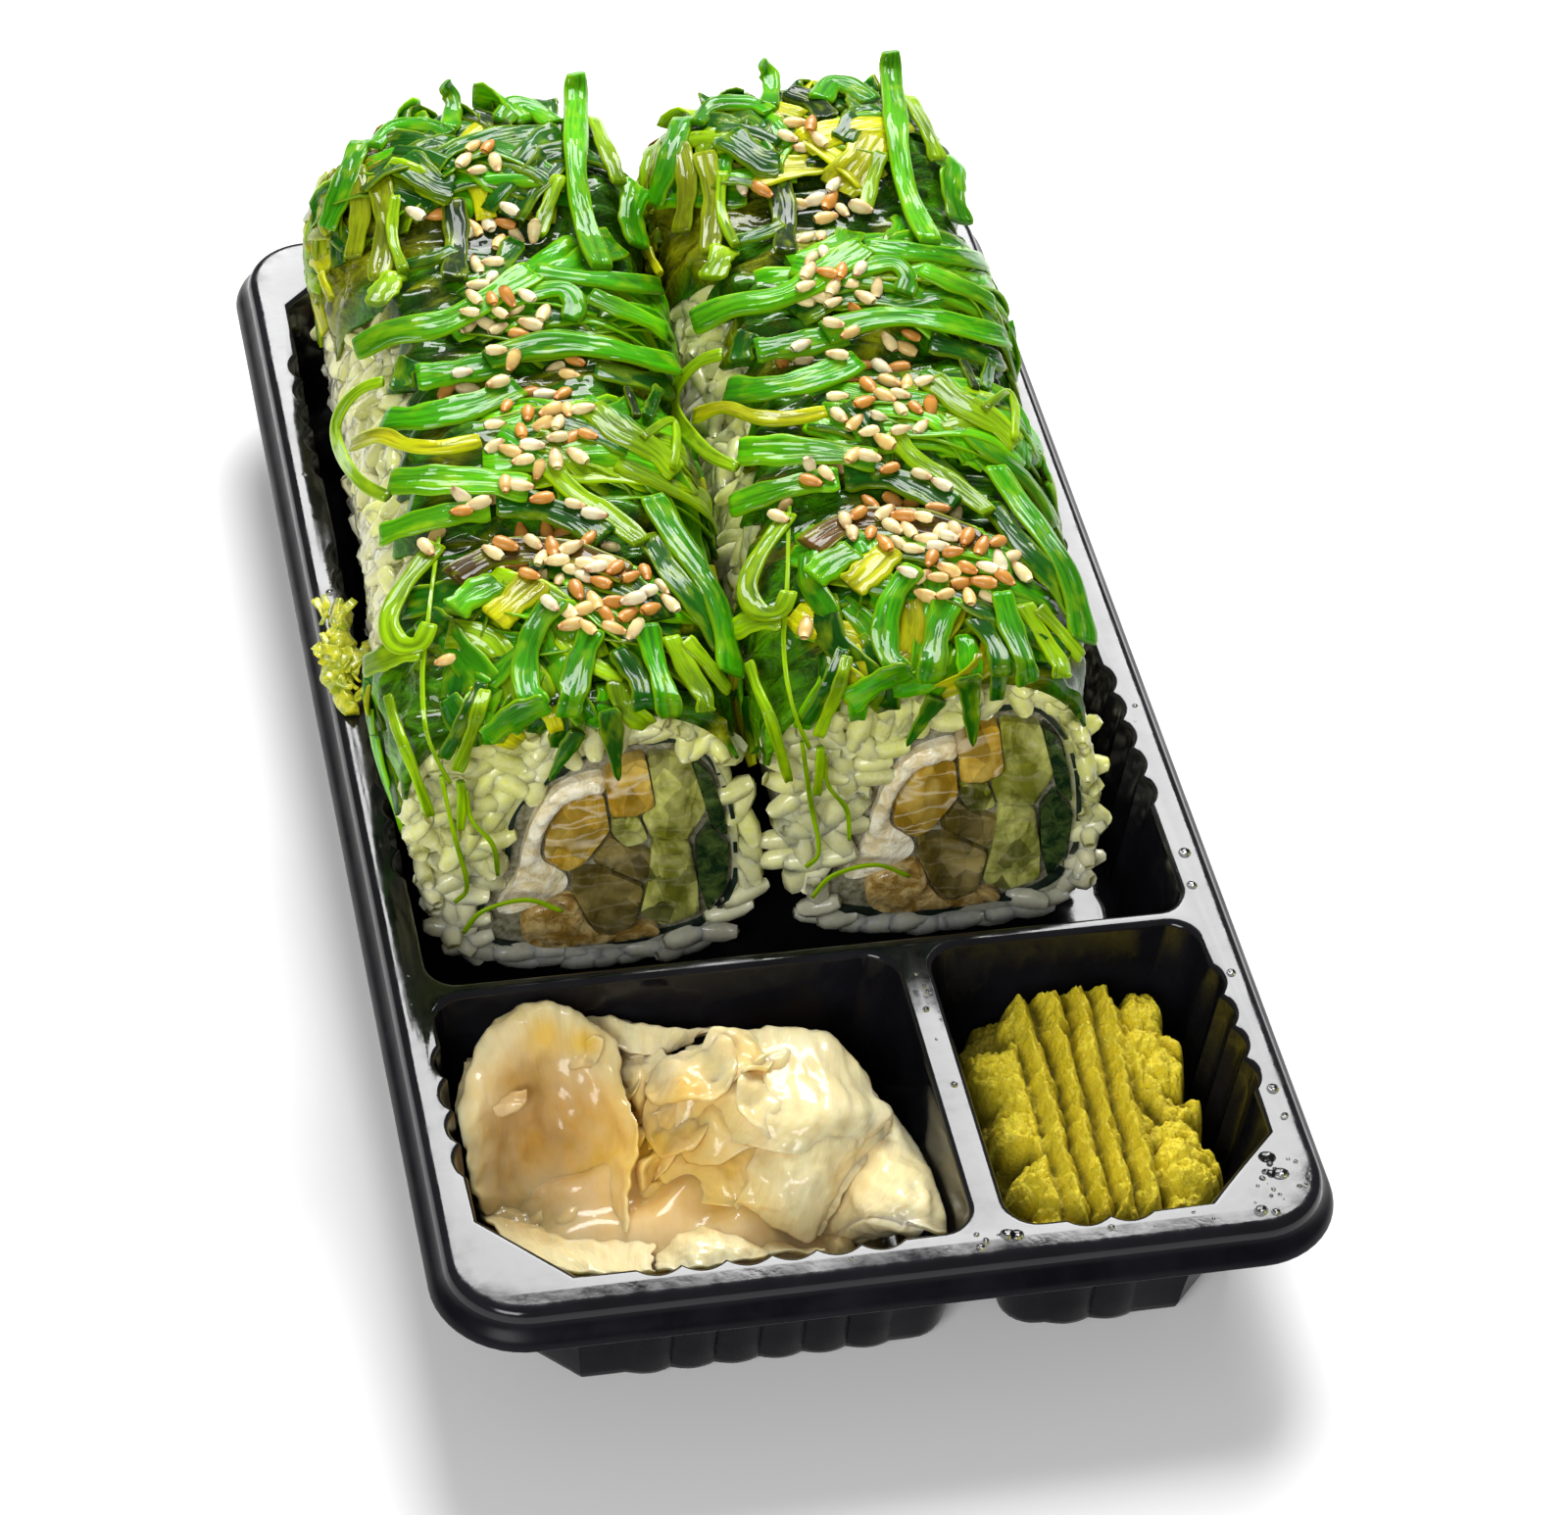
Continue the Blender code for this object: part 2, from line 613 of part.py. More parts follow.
def fuse(base, pieces):
    """One Boolean union of a collection on the base, applied; loose scraps are dropped."""
    group = bpy.data.collections.new("fused pieces")
    bpy.context.scene.collection.children.link(group)
    for piece in pieces:
        group.objects.link(piece)
    union = base.modifiers.new("union", "BOOLEAN")
    union.operation = "UNION"
    union.operand_type = "COLLECTION"
    union.collection = group
    union.solver = "EXACT"
    evaluated = base.evaluated_get(bpy.context.evaluated_depsgraph_get())
    joined = bpy.data.meshes.new_from_object(evaluated)
    base.modifiers.clear()
    base.data = joined
    for piece in pieces:
        bpy.data.objects.remove(piece, do_unlink=True)
    bpy.data.collections.remove(group)
    keep_largest(joined)


def keep_largest(mesh):
    """Weld close points and keep only the largest connected piece of a mesh."""
    shape = bmesh.new()
    shape.from_mesh(mesh)
    bmesh.ops.remove_doubles(shape, verts=shape.verts, dist=0.004 * MM)
    bmesh.ops.dissolve_degenerate(shape, edges=shape.edges, dist=0.004 * MM)
    unseen = set(shape.verts)
    islands = []
    while unseen:
        stack = [unseen.pop()]
        island = set(stack)
        while stack:
            vert = stack.pop()
            for edge in vert.link_edges:
                other = edge.other_vert(vert)
                if other in unseen:
                    unseen.remove(other)
                    island.add(other)
                    stack.append(other)
        islands.append(island)
    islands.sort(key=len, reverse=True)
    for island in islands[1:]:
        bmesh.ops.delete(shape, geom=list(island), context="VERTS")
    bmesh.ops.triangulate(shape, faces=shape.faces)
    shape.to_mesh(mesh)
    shape.free()


def seaweed_heap(row, finishes):
    """The seaweed salad of one row: blanket, strips and sesame seeds in one solid."""
    rng = random.Random(40 + row)
    core = seaweed_core(row, finishes["seaweed"])
    pieces = seaweed_strips(row, rng, finishes["seaweed"])
    end = ROLL_FRONT + ROLLS_PER_ROW * ROLL_PITCH - ROLL_CUT
    for number in range(SEAWEED_SEEDS):
        y = ROLL_FRONT + 5.0 + (end - ROLL_FRONT - 12.0) * (number + rng.random()) / SEAWEED_SEEDS
        across = 0.52 + rng.gauss(0.0, 0.09)
        place = seaweed_point(row, across, y, seaweed_lift(across, y, row) + 0.45)
        pieces.append(sesame_seed(place, rng, finishes["seed"]))
    fuse(core, pieces)


def seaweed_scrap(finish):
    """A shred of yellow-green seaweed that lies over the left rim."""
    points = []
    faces = []
    sections = 8
    for step in range(sections):
        t = step / (sections - 1)
        y = 1.0 + 23.0 * t
        x = -55.2 - 1.1 * math.sin(5.0 * t)
        half = 0.7 + 2.0 * math.sin(math.pi * (0.08 + 0.84 * t)) * (0.8 + 0.2 * math.sin(17.0 * t))
        base = TRAY_HEIGHT + GAP
        crown = 1.0 + 1.6 * math.sin(math.pi * (0.1 + 0.8 * t))
        points += [(x - half, y, base), (x + half, y, base), (x + 0.7 * half, y, base + crown)]
        points.append((x - 0.5 * half, y, base + 0.8 * crown))
    for step in range(sections - 1):
        faces += bridge(4 * step, 4 * step + 4, 4)
    faces.append((0, 1, 2, 3))
    faces.append(tuple(range(len(points) - 4, len(points))))
    return mesh_object("seaweed_scrap", points, faces, finish)


def wall_inset(z):
    """How far a pocket's wall stands in from the rim's edge at height z."""
    low = 3.4
    if z >= low:
        return DRAFT * (TRAY_HEIGHT - z) / (TRAY_HEIGHT - low)
    return DRAFT + 2.6 * (low - max(z, FLOOR)) / (low - FLOOR)


def keep_in_pocket(pocket, x, y, z):
    """The place moved, where it has to be, to stand clear of the pocket's walls and corners."""
    inset = wall_inset(z) + GAP + 0.1
    left = pocket["left"] + inset
    right = pocket["right"] - inset
    front = pocket["front"] + inset
    back = pocket["back"] - inset
    x = min(max(x, left), right)
    y = min(max(y, front), back)
    for corner_x, corner_y, name in (
        (left, front, "front_left"), (right, front, "front_right"),
        (right, back, "back_right"), (left, back, "back_left"),
    ):
        leg = CHAMFER if name in pocket["chamfered"] else 0.6 * POCKET_RADIUS
        short = leg - abs(x - corner_x) - abs(y - corner_y)
        if short > 0.0:
            x += 0.5 * short * (1.0 if corner_x == left else -1.0)
            y += 0.5 * short * (1.0 if corner_y == front else -1.0)
    return x, y


def ginger_slice(name, layout, finish):
    """A soft folded slice of ginger that rests on the pocket's floor."""
    pocket = pockets()[1]
    middle_x, middle_y, half_long, half_wide, turn, top = layout
    sectors = 20
    rings = (0.30, 0.58, 0.80, 0.94, 1.0)
    heights = (1.0, 0.96, 0.84, 0.62, 0.34)
    turned = math.radians(turn)
    seed = Vector((middle_x, middle_y, 0.0))
    points = [(middle_x, middle_y, top)]
    faces = []
    for ring, share in zip(rings, heights):
        for sector in range(sectors):
            angle = 2.0 * math.pi * sector / sectors
            waver = 1.0 + 0.07 * noise.noise(seed + Vector((math.cos(angle), math.sin(angle), 0.0)) * 1.7)
            along = half_long * signed_power(math.cos(angle), 0.8) * ring * waver
            aside = half_wide * signed_power(math.sin(angle), 0.8) * ring * waver
            x = middle_x + along * math.cos(turned) - aside * math.sin(turned)
            y = middle_y + along * math.sin(turned) + aside * math.cos(turned)
            fold = 0.9 * math.sin(0.42 * (x + 0.6 * y)) + 0.8 * noise.noise(Vector((x, y, 0.0)) * 0.16)
            z = FLOOR + GAP + (top - FLOOR - GAP) * share + fold * ring
            points.append((*keep_in_pocket(pocket, x, y, z), z))
    foot = len(points)
    for x, y, _ in points[foot - sectors:foot]:
        points.append((*keep_in_pocket(pocket, x, y, FLOOR), FLOOR + GAP))
    for sector in range(sectors):
        faces.append((0, 1 + sector, 1 + (sector + 1) % sectors))
    for place in range(len(rings)):
        faces += bridge(1 + place * sectors, 1 + (place + 1) * sectors, sectors)
    faces.append(tuple(range(foot, foot + sectors)))
    return mesh_object(name, points, faces, finish, 60.0)


def wasabi_sides(y):
    """Left and right edge of the paste at a distance y."""
    share = (y - WASABI_FRONT) / (WASABI_BACK - WASABI_FRONT)
    left = 17.4 + 4.5 * max(0.0, share - 0.85) / 0.15 + 0.4 * math.sin(0.9 * y)
    right = 48.2 - 3.2 * max(0.0, share - 0.85) / 0.15 - 4.0 * max(0.0, 0.14 - share) / 0.14 + 0.7 * math.sin(0.6 * y)
    return left, right


def wasabi_height(x, y):
    """Top of the paste: a mound with comb ridges in the middle and crumbs at the sides."""
    left, right = wasabi_sides(y)
    side = min(1.0, max(0.0, min(x - left, right - x) / 7.0))
    end = min(1.0, max(0.0, min(y - WASABI_FRONT, WASABI_BACK - y) / 5.0))
    mound = WASABI_EDGE_TOP + (WASABI_MIDDLE_TOP - WASABI_EDGE_TOP) * math.sqrt(side) * (0.45 + 0.55 * math.sqrt(end))
    phase = (x - RIDGE_FIRST_X) / RIDGE_PITCH
    if -0.5 <= phase <= RIDGE_COUNT - 0.5:
        ridge = abs(phase - round(phase)) * 2.0
        return mound + RIDGE_DEPTH * (0.5 - ridge)
    return mound + 1.4 * noise.noise(Vector((x, y, 0.0)) * 0.3)


def wasabi_part(finish):
    """The wasabi paste, a solid down to the pocket's floor."""
    pocket = pockets()[2]
    points = []
    faces = []
    fixed = [RIDGE_FIRST_X + RIDGE_PITCH * (0.5 * step - 0.5) for step in range(2 * RIDGE_COUNT + 1)]
    columns = 2 + len(fixed) + 3
    for step in range(WASABI_ROWS):
        y = WASABI_BACK + (WASABI_FRONT - WASABI_BACK) * step / (WASABI_ROWS - 1)
        left, right = wasabi_sides(y)
        places = [left, 0.5 * (left + fixed[0])] + fixed
        places += [fixed[-1] + (right - fixed[-1]) * share for share in (0.34, 0.67, 1.0)]
        for x in places:
            z = wasabi_height(x, y)
            points.append((*keep_in_pocket(pocket, x, y, z), z))
    top_count = len(points)
    for step in range(WASABI_ROWS - 1):
        for place in range(columns - 1):
            corner = step * columns + place
            faces.append((corner, corner + 1, corner + columns + 1, corner + columns))
    rim = list(range(columns))
    rim += [step * columns + columns - 1 for step in range(1, WASABI_ROWS)]
    rim += [(WASABI_ROWS - 1) * columns + place for place in range(columns - 2, -1, -1)]
    rim += [step * columns for step in range(WASABI_ROWS - 2, 0, -1)]
    for corner in rim:
        x, y, _ = points[corner]
        points.append((*keep_in_pocket(pocket, x, y, FLOOR), FLOOR + GAP))
    for place, corner in enumerate(rim):
        following = (place + 1) % len(rim)
        faces.append((corner, rim[following], top_count + following, top_count + place))
    faces.append(tuple(range(top_count, top_count + len(rim))))
    return mesh_object("wasabi", points, faces, finish, 70.0)


def finishes():
    """Colours of the materials."""
    return {
        "tray": material("black plastic", (0.006, 0.006, 0.008), 0.12),
        "rice": material("rice", (0.68, 0.70, 0.52), 0.35),
        "nori": material("dried seaweed sheet", (0.010, 0.018, 0.014), 0.4),
        "cheese": material("cream cheese", (0.85, 0.80, 0.70), 0.4),
        "squash": material("amber filling", (0.55, 0.30, 0.05), 0.3),
        "cucumber": material("cucumber", (0.38, 0.46, 0.14), 0.3),
        "skin": material("cucumber skin", (0.03, 0.09, 0.03), 0.3),
        "radish": material("grey-brown filling", (0.20, 0.17, 0.07), 0.3),
        "tofu": material("tan filling", (0.62, 0.42, 0.18), 0.4),
        "seaweed": material("seaweed salad", (0.05, 0.33, 0.02), 0.2),
        "seed": material("sesame", (0.80, 0.60, 0.32), 0.4),
        "scrap": material("pale seaweed", (0.36, 0.42, 0.05), 0.35),
        "ginger": material("pickled ginger", (0.85, 0.66, 0.34), 0.3),
        "wasabi": material("wasabi", (0.40, 0.38, 0.03), 0.6),
    }


def build():
    """Make every part."""
    clear_scene()
    made = finishes()
    tray_part(made["tray"])
    for row in range(len(ROW_X)):
        front_roll(row, made)
        for number in range(1, ROLLS_PER_ROW):
            rear_roll(row, number, made["rice"])
        seaweed_heap(row, made)
    seaweed_scrap(made["scrap"])
    for name, layout in GINGER_PIECES.items():
        ginger_slice(name, layout, made["ginger"])
    wasabi_part(made["wasabi"])


build()
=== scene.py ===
"""Looks of the takeaway sushi tray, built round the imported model.

Lengths are in millimetres, in the model's own frame: X across the tray, Y from front to back,
Z up from the surface it stands on. MM turns them into metres where a mesh is made.
"""
import math

import bmesh
import bpy
import numpy as np
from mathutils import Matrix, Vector, noise
from mathutils.bvhtree import BVHTree
from mathutils.geometry import delaunay_2d_cdt, tessellate_polygon

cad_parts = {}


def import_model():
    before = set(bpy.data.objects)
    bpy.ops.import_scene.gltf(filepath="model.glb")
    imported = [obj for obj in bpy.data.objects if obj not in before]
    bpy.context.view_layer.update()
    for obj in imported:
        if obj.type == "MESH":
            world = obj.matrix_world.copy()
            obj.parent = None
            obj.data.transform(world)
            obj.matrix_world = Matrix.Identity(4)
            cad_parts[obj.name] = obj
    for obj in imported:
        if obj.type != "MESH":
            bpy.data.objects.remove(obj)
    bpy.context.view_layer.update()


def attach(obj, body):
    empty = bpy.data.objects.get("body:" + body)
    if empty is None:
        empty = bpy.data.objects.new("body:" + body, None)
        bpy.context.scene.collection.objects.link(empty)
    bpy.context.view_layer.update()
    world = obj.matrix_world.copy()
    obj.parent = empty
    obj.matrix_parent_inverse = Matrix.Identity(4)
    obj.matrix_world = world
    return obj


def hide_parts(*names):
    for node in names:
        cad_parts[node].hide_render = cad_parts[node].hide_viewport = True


MM = 0.001

# Photograph and the camera that was fitted to it
PHOTO_WIDTH = 1600
PHOTO_HEIGHT = 1546
FOCAL_PIXELS = 5037.0
SENSOR_WIDTH = 36.0
CAMERA_PLACE = np.array((-125.1, -502.4, 499.2))
CAMERA_AZIMUTH = math.radians(-14.78)
CAMERA_ELEVATION = math.radians(43.34)
CAMERA_ROLL = math.radians(4.77)

# Tray, as in the model
RIM_HALF_X = 56.0
RIM_HALF_Y = 108.6
RIM_RADIUS = 8.5
TRAY_HEIGHT = 24.0
SHEET = 0.7
FLOOR = 0.7
SKIRT_DROP = 5.0
SKIRT_OUT = 3.6
POCKET_X = 52.4
FRONT_EDGE = -104.6
DIVIDER_FRONT = -54.7
DIVIDER_BACK = -52.3
BACK_EDGE = 105.0
GINGER_RIGHT = 10.3
WASABI_LEFT = 15.0
POCKET_RADIUS = 4.5
CHAMFER = 11.0
DRAFT = 2.0
LIP = 0.8
FOOT_TOP = 3.4
FOOT_OUT = 2.6
FLUTE_PITCH = 5.82
FLUTE_DEPTH = 1.2
FLUTE_STEPS = 8
SIDE_GROUPS = ((-31.8, 5), (9.4, 5), (53.0, 5))
BACK_GROUPS = ((-35.0, 4), (11.7, 4))
GINGER_FRONT_GROUP = ((-33.9, 6),)
WASABI_FRONT_GROUP = ((22.2, 2),)
POCKET_SIDE_GROUP = ((-86.4, 4),)

# Rows of rolls, as in the model
ROW_X = (-23.7, 25.2)
ROW_NAMES = ("left", "right")
ROLLS_PER_ROW = 4
ROLL_BASE = 1.05
ROLL_HALF_WIDTH = 23.8
ROLL_HALF_HEIGHT = 25.6
ROLL_SQUARENESS = 3.3
FRONT_LEAN = math.tan(math.radians(9.0))
UPRIGHT_FROM = 88.0
ROLL_FRONT = -32.0
ROLL_PITCH = 32.2
ROLL_CUT = 1.1
ROW_END = ROLL_FRONT + ROLLS_PER_ROW * ROLL_PITCH - ROLL_CUT
NORI_THICKNESS = 0.8
SEAWEED_HEMS = ((math.radians(172.0), math.radians(20.0)), (math.radians(160.0), math.radians(8.0)))
SEAM_HALF = 24.1

# Salad over the rice: its least height, and what its middle, its mounds and its lumps add
SALAD_LEAST = 1.3
SALAD_MIDDLE = 2.2
SALAD_MOUND = 2.6
SALAD_LUMP = 1.9

# Left hem of the salad: distances y, and its reach across from the crest there
HEM_PLACES = (-60.0, -33.0, -14.0, 2.0, 30.0, 58.0, 68.0, 96.0, 130.0)
HEM_REACH = (-29.0, -30.0, -31.0, -19.0, -16.0, -17.0, -34.0, -36.0, -34.0)
RIGHT_HEM = 29.0

# Filling at the cuts: (across, up) from the middle of the roll's base
NORI_LOOP = (
    (-4.0, 38.0), (4.0, 42.4), (12.5, 43.6), (18.0, 40.5), (20.6, 33.0), (21.0, 24.0),
    (19.6, 14.0), (14.0, 7.0), (2.0, 5.0), (-9.5, 5.4), (-17.2, 9.0), (-15.6, 16.0),
    (-11.6, 23.0), (-9.4, 31.0),
)
FILLINGS = {
    "cheese": (
        (3.6, 38.2), (-1.8, 36.6), (-5.6, 32.6), (-8.2, 26.5), (-10.2, 20.0), (-13.6, 14.4),
        (-10.6, 13.6), (-4.4, 16.8), (-3.6, 20.0), (-6.4, 23.4), (-5.6, 28.0), (-3.2, 32.2),
        (-0.2, 34.6), (3.6, 35.4),
    ),
    "squash_left": (
        (-5.2, 27.4), (-2.6, 31.9), (0.2, 34.2), (3.5, 34.9), (3.5, 27.8), (-0.9, 21.9),
        (-3.4, 21.0), (-5.8, 23.8),
    ),
    "squash_top": ((4.2, 38.6), (7.6, 40.8), (10.0, 41.2), (10.2, 32.4), (7.6, 30.8), (4.2, 31.2)),
    "cucumber_top": (
        (10.5, 41.2), (16.0, 40.0), (17.2, 30.2), (14.0, 24.8), (9.2, 26.0), (8.4, 30.2), (10.6, 31.6),
    ),
    "skin_top": ((16.5, 39.9), (18.4, 37.0), (19.4, 31.0), (19.6, 25.0), (17.6, 28.0)),
    "cucumber_middle": ((4.2, 30.6), (7.8, 30.0), (8.6, 25.9), (5.6, 24.8), (4.0, 27.6)),
    "radish_upper": ((5.2, 24.3), (9.0, 22.2), (7.2, 17.2), (3.0, 20.4), (0.6, 22.4), (3.6, 26.6)),
    "radish_lower": (
        (2.6, 20.0), (6.8, 16.6), (4.6, 9.4), (0.8, 8.0), (-1.2, 11.0), (-2.8, 17.0), (-2.6, 20.4),
    ),
    "skin_low": ((15.2, 23.4), (17.6, 26.8), (19.6, 22.6), (18.2, 14.6), (15.4, 10.4), (14.8, 16.4)),
    "cucumber_low": (
        (9.4, 25.2), (14.2, 24.0), (14.4, 16.0), (14.0, 10.2), (9.0, 8.6), (6.0, 10.8), (7.6, 16.4),
    ),
    "tofu": (
        (-10.2, 13.0), (-3.4, 15.6), (-1.8, 10.6), (0.4, 7.6), (4.4, 8.4), (7.8, 8.0), (6.0, 6.6),
        (-8.8, 6.8),
    ),
}
FILLING_SLOTS = {
    "cheese": "cream_cheese", "squash": "amber_filling", "cucumber": "cucumber", "skin": "cucumber_skin",
    "radish": "grey_filling", "tofu": "tan_filling",
}

# Rice grains: half length, width and thickness, spacing on the sides and on the cuts, reach across and up on
# the cuts, how far they go on the sides between the rows, the lowest height that their middles have, and the
# height under which they lie level
GRAIN_SIZE = (3.5, 1.7, 1.5)
GRAIN_SPACING = 3.1
CUT_GRAIN_SPACING = 3.05
CUT_GRAIN_REACH = (22.6, 24.4)
INNER_SIDE_REACH = 30.0
LOWEST_GRAIN = 3.1
LEVEL_BELOW = 7.0

# The core of the rice under its grains: how far its faces stand back, the rounding of their edges, how far
# its sides stand back, its bumps, and how deep the bed of the filling lies
FACE_SUNK = 1.3
EDGE_ROUND = 1.8
SIDE_SUNK = 1.7
SIDE_BUMP = 0.8
BED_DEPTH = 0.7

# Colours of the rice: under the salad, at the sides, low down, and behind the filling, where the bed is
# painted dark as shade in the hole
RICE_STAINED = (0.66, 0.68, 0.15)
RICE_WHITE = (0.80, 0.76, 0.50)
RICE_LOW = (0.52, 0.53, 0.44)
FILLING_BED = (0.10, 0.09, 0.03)

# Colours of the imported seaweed: everywhere, then across the last roll from left to right
TANGLE_DARK = (0.014, 0.075, 0.001)
TANGLE_BRIGHT = (0.05, 0.22, 0.001)
TANGLE_YELLOW = (0.26, 0.30, 0.004)
TANGLE_HANGING = (0.11, 0.36, 0.003)
LAST_ROLL_LEFT = (0.25, 0.27, 0.004)
LAST_ROLL_MIDDLE = (0.010, 0.030, 0.001)
LAST_ROLL_RIGHT = (0.04, 0.17, 0.002)

# Colours of the seaweed strips
SEAWEED_TINTS = {
    "bright": (0.045, 0.29, 0.0006),
    "vivid": (0.085, 0.38, 0.0008),
    "dark": (0.010, 0.095, 0.0015),
    "black": (0.008, 0.022, 0.002),
    "lime": (0.22, 0.40, 0.0015),
    "olive": (0.20, 0.24, 0.003),
    "yellow": (0.46, 0.46, 0.004),
    "brown": (0.090, 0.042, 0.005),
}

# Strips that the photo shows one by one: tint, width in photo pixels, lift, and their path in photo pixels
SHOWN_STRIPS = {
    "fan_1": ("bright", 28, 1.6, ((569, 611), (548, 637), (537, 668), (537, 702), (553, 723))),
    "fan_2": ("bright", 30, 1.2, ((605, 642), (592, 675), (585, 705), (579, 731))),
    "fan_3": ("dark", 26, 1.0, ((631, 663), (652, 694), (658, 723))),
    "fan_4": ("bright", 26, 1.8, ((660, 637), (668, 673), (679, 705), (684, 731))),
    "fan_5": ("lime", 24, 1.0, ((684, 650), (699, 679), (718, 710), (720, 726))),
    "fan_6": ("lime", 20, 1.4, ((699, 653), (723, 679), (744, 705))),
    "right_long": (
        "bright", 34, 2.4, ((665, 506), (684, 538), (707, 572), (733, 616), (744, 663), (747, 687)),
    ),
    "right_under": ("dark", 30, 1.2, ((660, 545), (684, 585), (718, 626), (736, 663))),
    "crest_lime": ("lime", 24, 1.8, ((558, 471), (582, 500), (619, 524), (655, 554))),
    "crest_dark": ("dark", 36, 1.6, ((506, 514), (540, 514), (579, 527), (618, 548))),
    "wood_ear": ("brown", 34, 1.6, ((462, 590), (496, 569), (532, 561), (579, 566), (618, 577), (639, 587))),
    "left_loop": (
        "lime", 22, 1.8, ((446, 556), (422, 585), (404, 611), (396, 637), (407, 658), (428, 658), (438, 637)),
    ),
    "green_flake": ("vivid", 34, 1.8, ((464, 622), (484, 606), (508, 594))),
    "yellow_flake": ("yellow", 36, 1.4, ((503, 632), (524, 614), (548, 592))),
    "ragged_left": ("lime", 28, 1.6, ((372, 680), (400, 668), (430, 665))),
    "fan_left": ("bright", 30, 1.6, ((496, 752), (527, 731), (558, 718))),
    "hang_dark": ("dark", 16, 1.0, ((492, 697), (475, 731), (453, 773))),
    "hang_lime": ("lime", 15, 1.2, ((495, 705), (482, 744), (467, 786))),
    "leaf_left": ("dark", 22, 1.4, ((590, 747), (577, 768), (561, 796))),
    "leaf_middle": ("dark", 26, 1.6, ((621, 726), (626, 757), (631, 796))),
    "side_strip": ("lime", 12, 1.4, ((396, 710), (404, 741), (420, 781), (439, 832))),
    "stalk": ("lime", 10, 1.4, ((470, 798), (471, 822), (470, 846))),
    "cross_1": ("bright", 24, 1.8, ((546, 277), (582, 282), (631, 287), (674, 292))),
    "sweep_up": (
        "vivid", 32, 2.2, ((362, 356), (400, 338), (449, 331), (485, 314), (519, 292), (544, 277)),
    ),
    "cross_2": ("bright", 24, 1.5, ((495, 318), (534, 301), (573, 294), (587, 309), (582, 326))),
    "cross_3": ("vivid", 24, 1.9, ((602, 301), (631, 314), (660, 326), (679, 338))),
    "cross_wide": (
        "bright", 30, 2.4, ((497, 367), (534, 355), (570, 350), (619, 355), (655, 364), (691, 372)),
    ),
    "cross_dark": ("dark", 28, 1.2, ((607, 377), (655, 389), (685, 396))),
    "see_through": ("dark", 26, 1.0, ((420, 367), (412, 382), (410, 396))),
    "left_band_1": ("bright", 34, 1.6, ((425, 385), (470, 378), (520, 368))),
    "left_band_2": ("bright", 34, 1.9, ((392, 428), (430, 425), (480, 415), (530, 395))),
    "yellow_band": ("yellow", 18, 2.2, ((359, 454), (388, 444), (413, 454), (449, 457), (490, 449))),
    "left_band_3": ("vivid", 36, 2.1, ((398, 491), (440, 490), (495, 492), (540, 500))),
    "left_band_4": ("vivid", 30, 2.0, ((388, 547), (420, 535), (465, 524), (500, 520))),
    "edge_loop": (
        "lime", 15, 2.2, ((391, 389), (369, 396), (350, 415), (342, 440), (352, 471), (371, 495), (396, 507)),
    ),
    "lime_slope": ("lime", 34, 1.8, ((602, 415), (631, 440), (667, 459), (691, 483))),
    "small_loop": ("lime", 9, 2.2, ((655, 447), (684, 428), (691, 445), (687, 478))),
    "brown_bit": ("black", 10, 1.6, ((640, 396), (645, 410), (650, 425))),
    "short_dark": ("dark", 14, 1.4, ((672, 396), (666, 411), (660, 425))),
    "slope_2": ("bright", 18, 1.6, ((597, 408), (619, 420), (643, 440))),
    "standing": ("vivid", 25, 2.6, ((588, 75), (588, 124), (588, 175), (596, 226), (614, 272))),
    "back_tip": ("bright", 20, 1.8, ((453, 86), (463, 106), (458, 131))),
    "back_left": ("bright", 28, 1.6, ((369, 144), (354, 180), (341, 213), (333, 233))),
    "back_arc": ("bright", 20, 1.8, ((382, 149), (402, 129), (440, 129), (458, 137))),
    "back_dark_1": ("dark", 16, 1.5, ((402, 154), (433, 157), (463, 170))),
    "back_curl": ("bright", 26, 1.8, ((512, 124), (525, 108), (545, 111), (565, 126))),
    "back_dark_2": ("black", 26, 1.2, ((479, 116), (504, 126), (517, 144))),
    "back_lime": ("lime", 20, 1.6, ((606, 121), (621, 157), (632, 187))),
    "back_right": ("bright", 32, 1.4, ((652, 190), (644, 218), (652, 251))),
    "back_olive_1": ("olive", 22, 1.2, ((364, 172), (368, 215), (360, 262))),
    "back_olive_2": ("olive", 24, 1.4, ((386, 180), (394, 230), (386, 284))),
    "back_olive_3": ("lime", 12, 1.8, ((404, 200), (400, 240), (412, 276))),
    "back_deep": ("dark", 38, 1.6, ((410, 162), (443, 188), (463, 193))),
    # A black strip along the back valley: painted shade in the valley.
    "back_valley_shade": ("black", 26, 0.9, ((463, 203), (466, 244), (463, 284))),
    "back_light": ("lime", 16, 2.0, ((570, 180), (558, 213), (550, 239))),
    "back_dark_3": ("dark", 30, 1.4, ((530, 167), (550, 144), (573, 137))),
    "valley_dark": ("dark", 16, 1.4, ((410, 272), (443, 264), (463, 254))),
    "valley_flake": ("lime", 30, 1.3, ((402, 279), (393, 294), (384, 310))),
    "left_thin": ("yellow", 9, 1.5, ((328, 279), (332, 292), (338, 305))),
}

# Thin tendrils over the strips, in photo pixels
TENDRILS = {
    "tendril_top": ((448, 548), (441, 598), (435, 650), (431, 689), (434, 742), (446, 775), (459, 799)),
    "tendril_left": ((450, 792), (464, 854), (477, 904), (464, 921)),
    "tendril_right": ((475, 806), (481, 837), (503, 862), (508, 893)),
    "tendril_low": ((473, 952), (492, 930), (537, 918), (574, 930)),
}
TENDRIL_WIDTH_PIXELS = 5.0

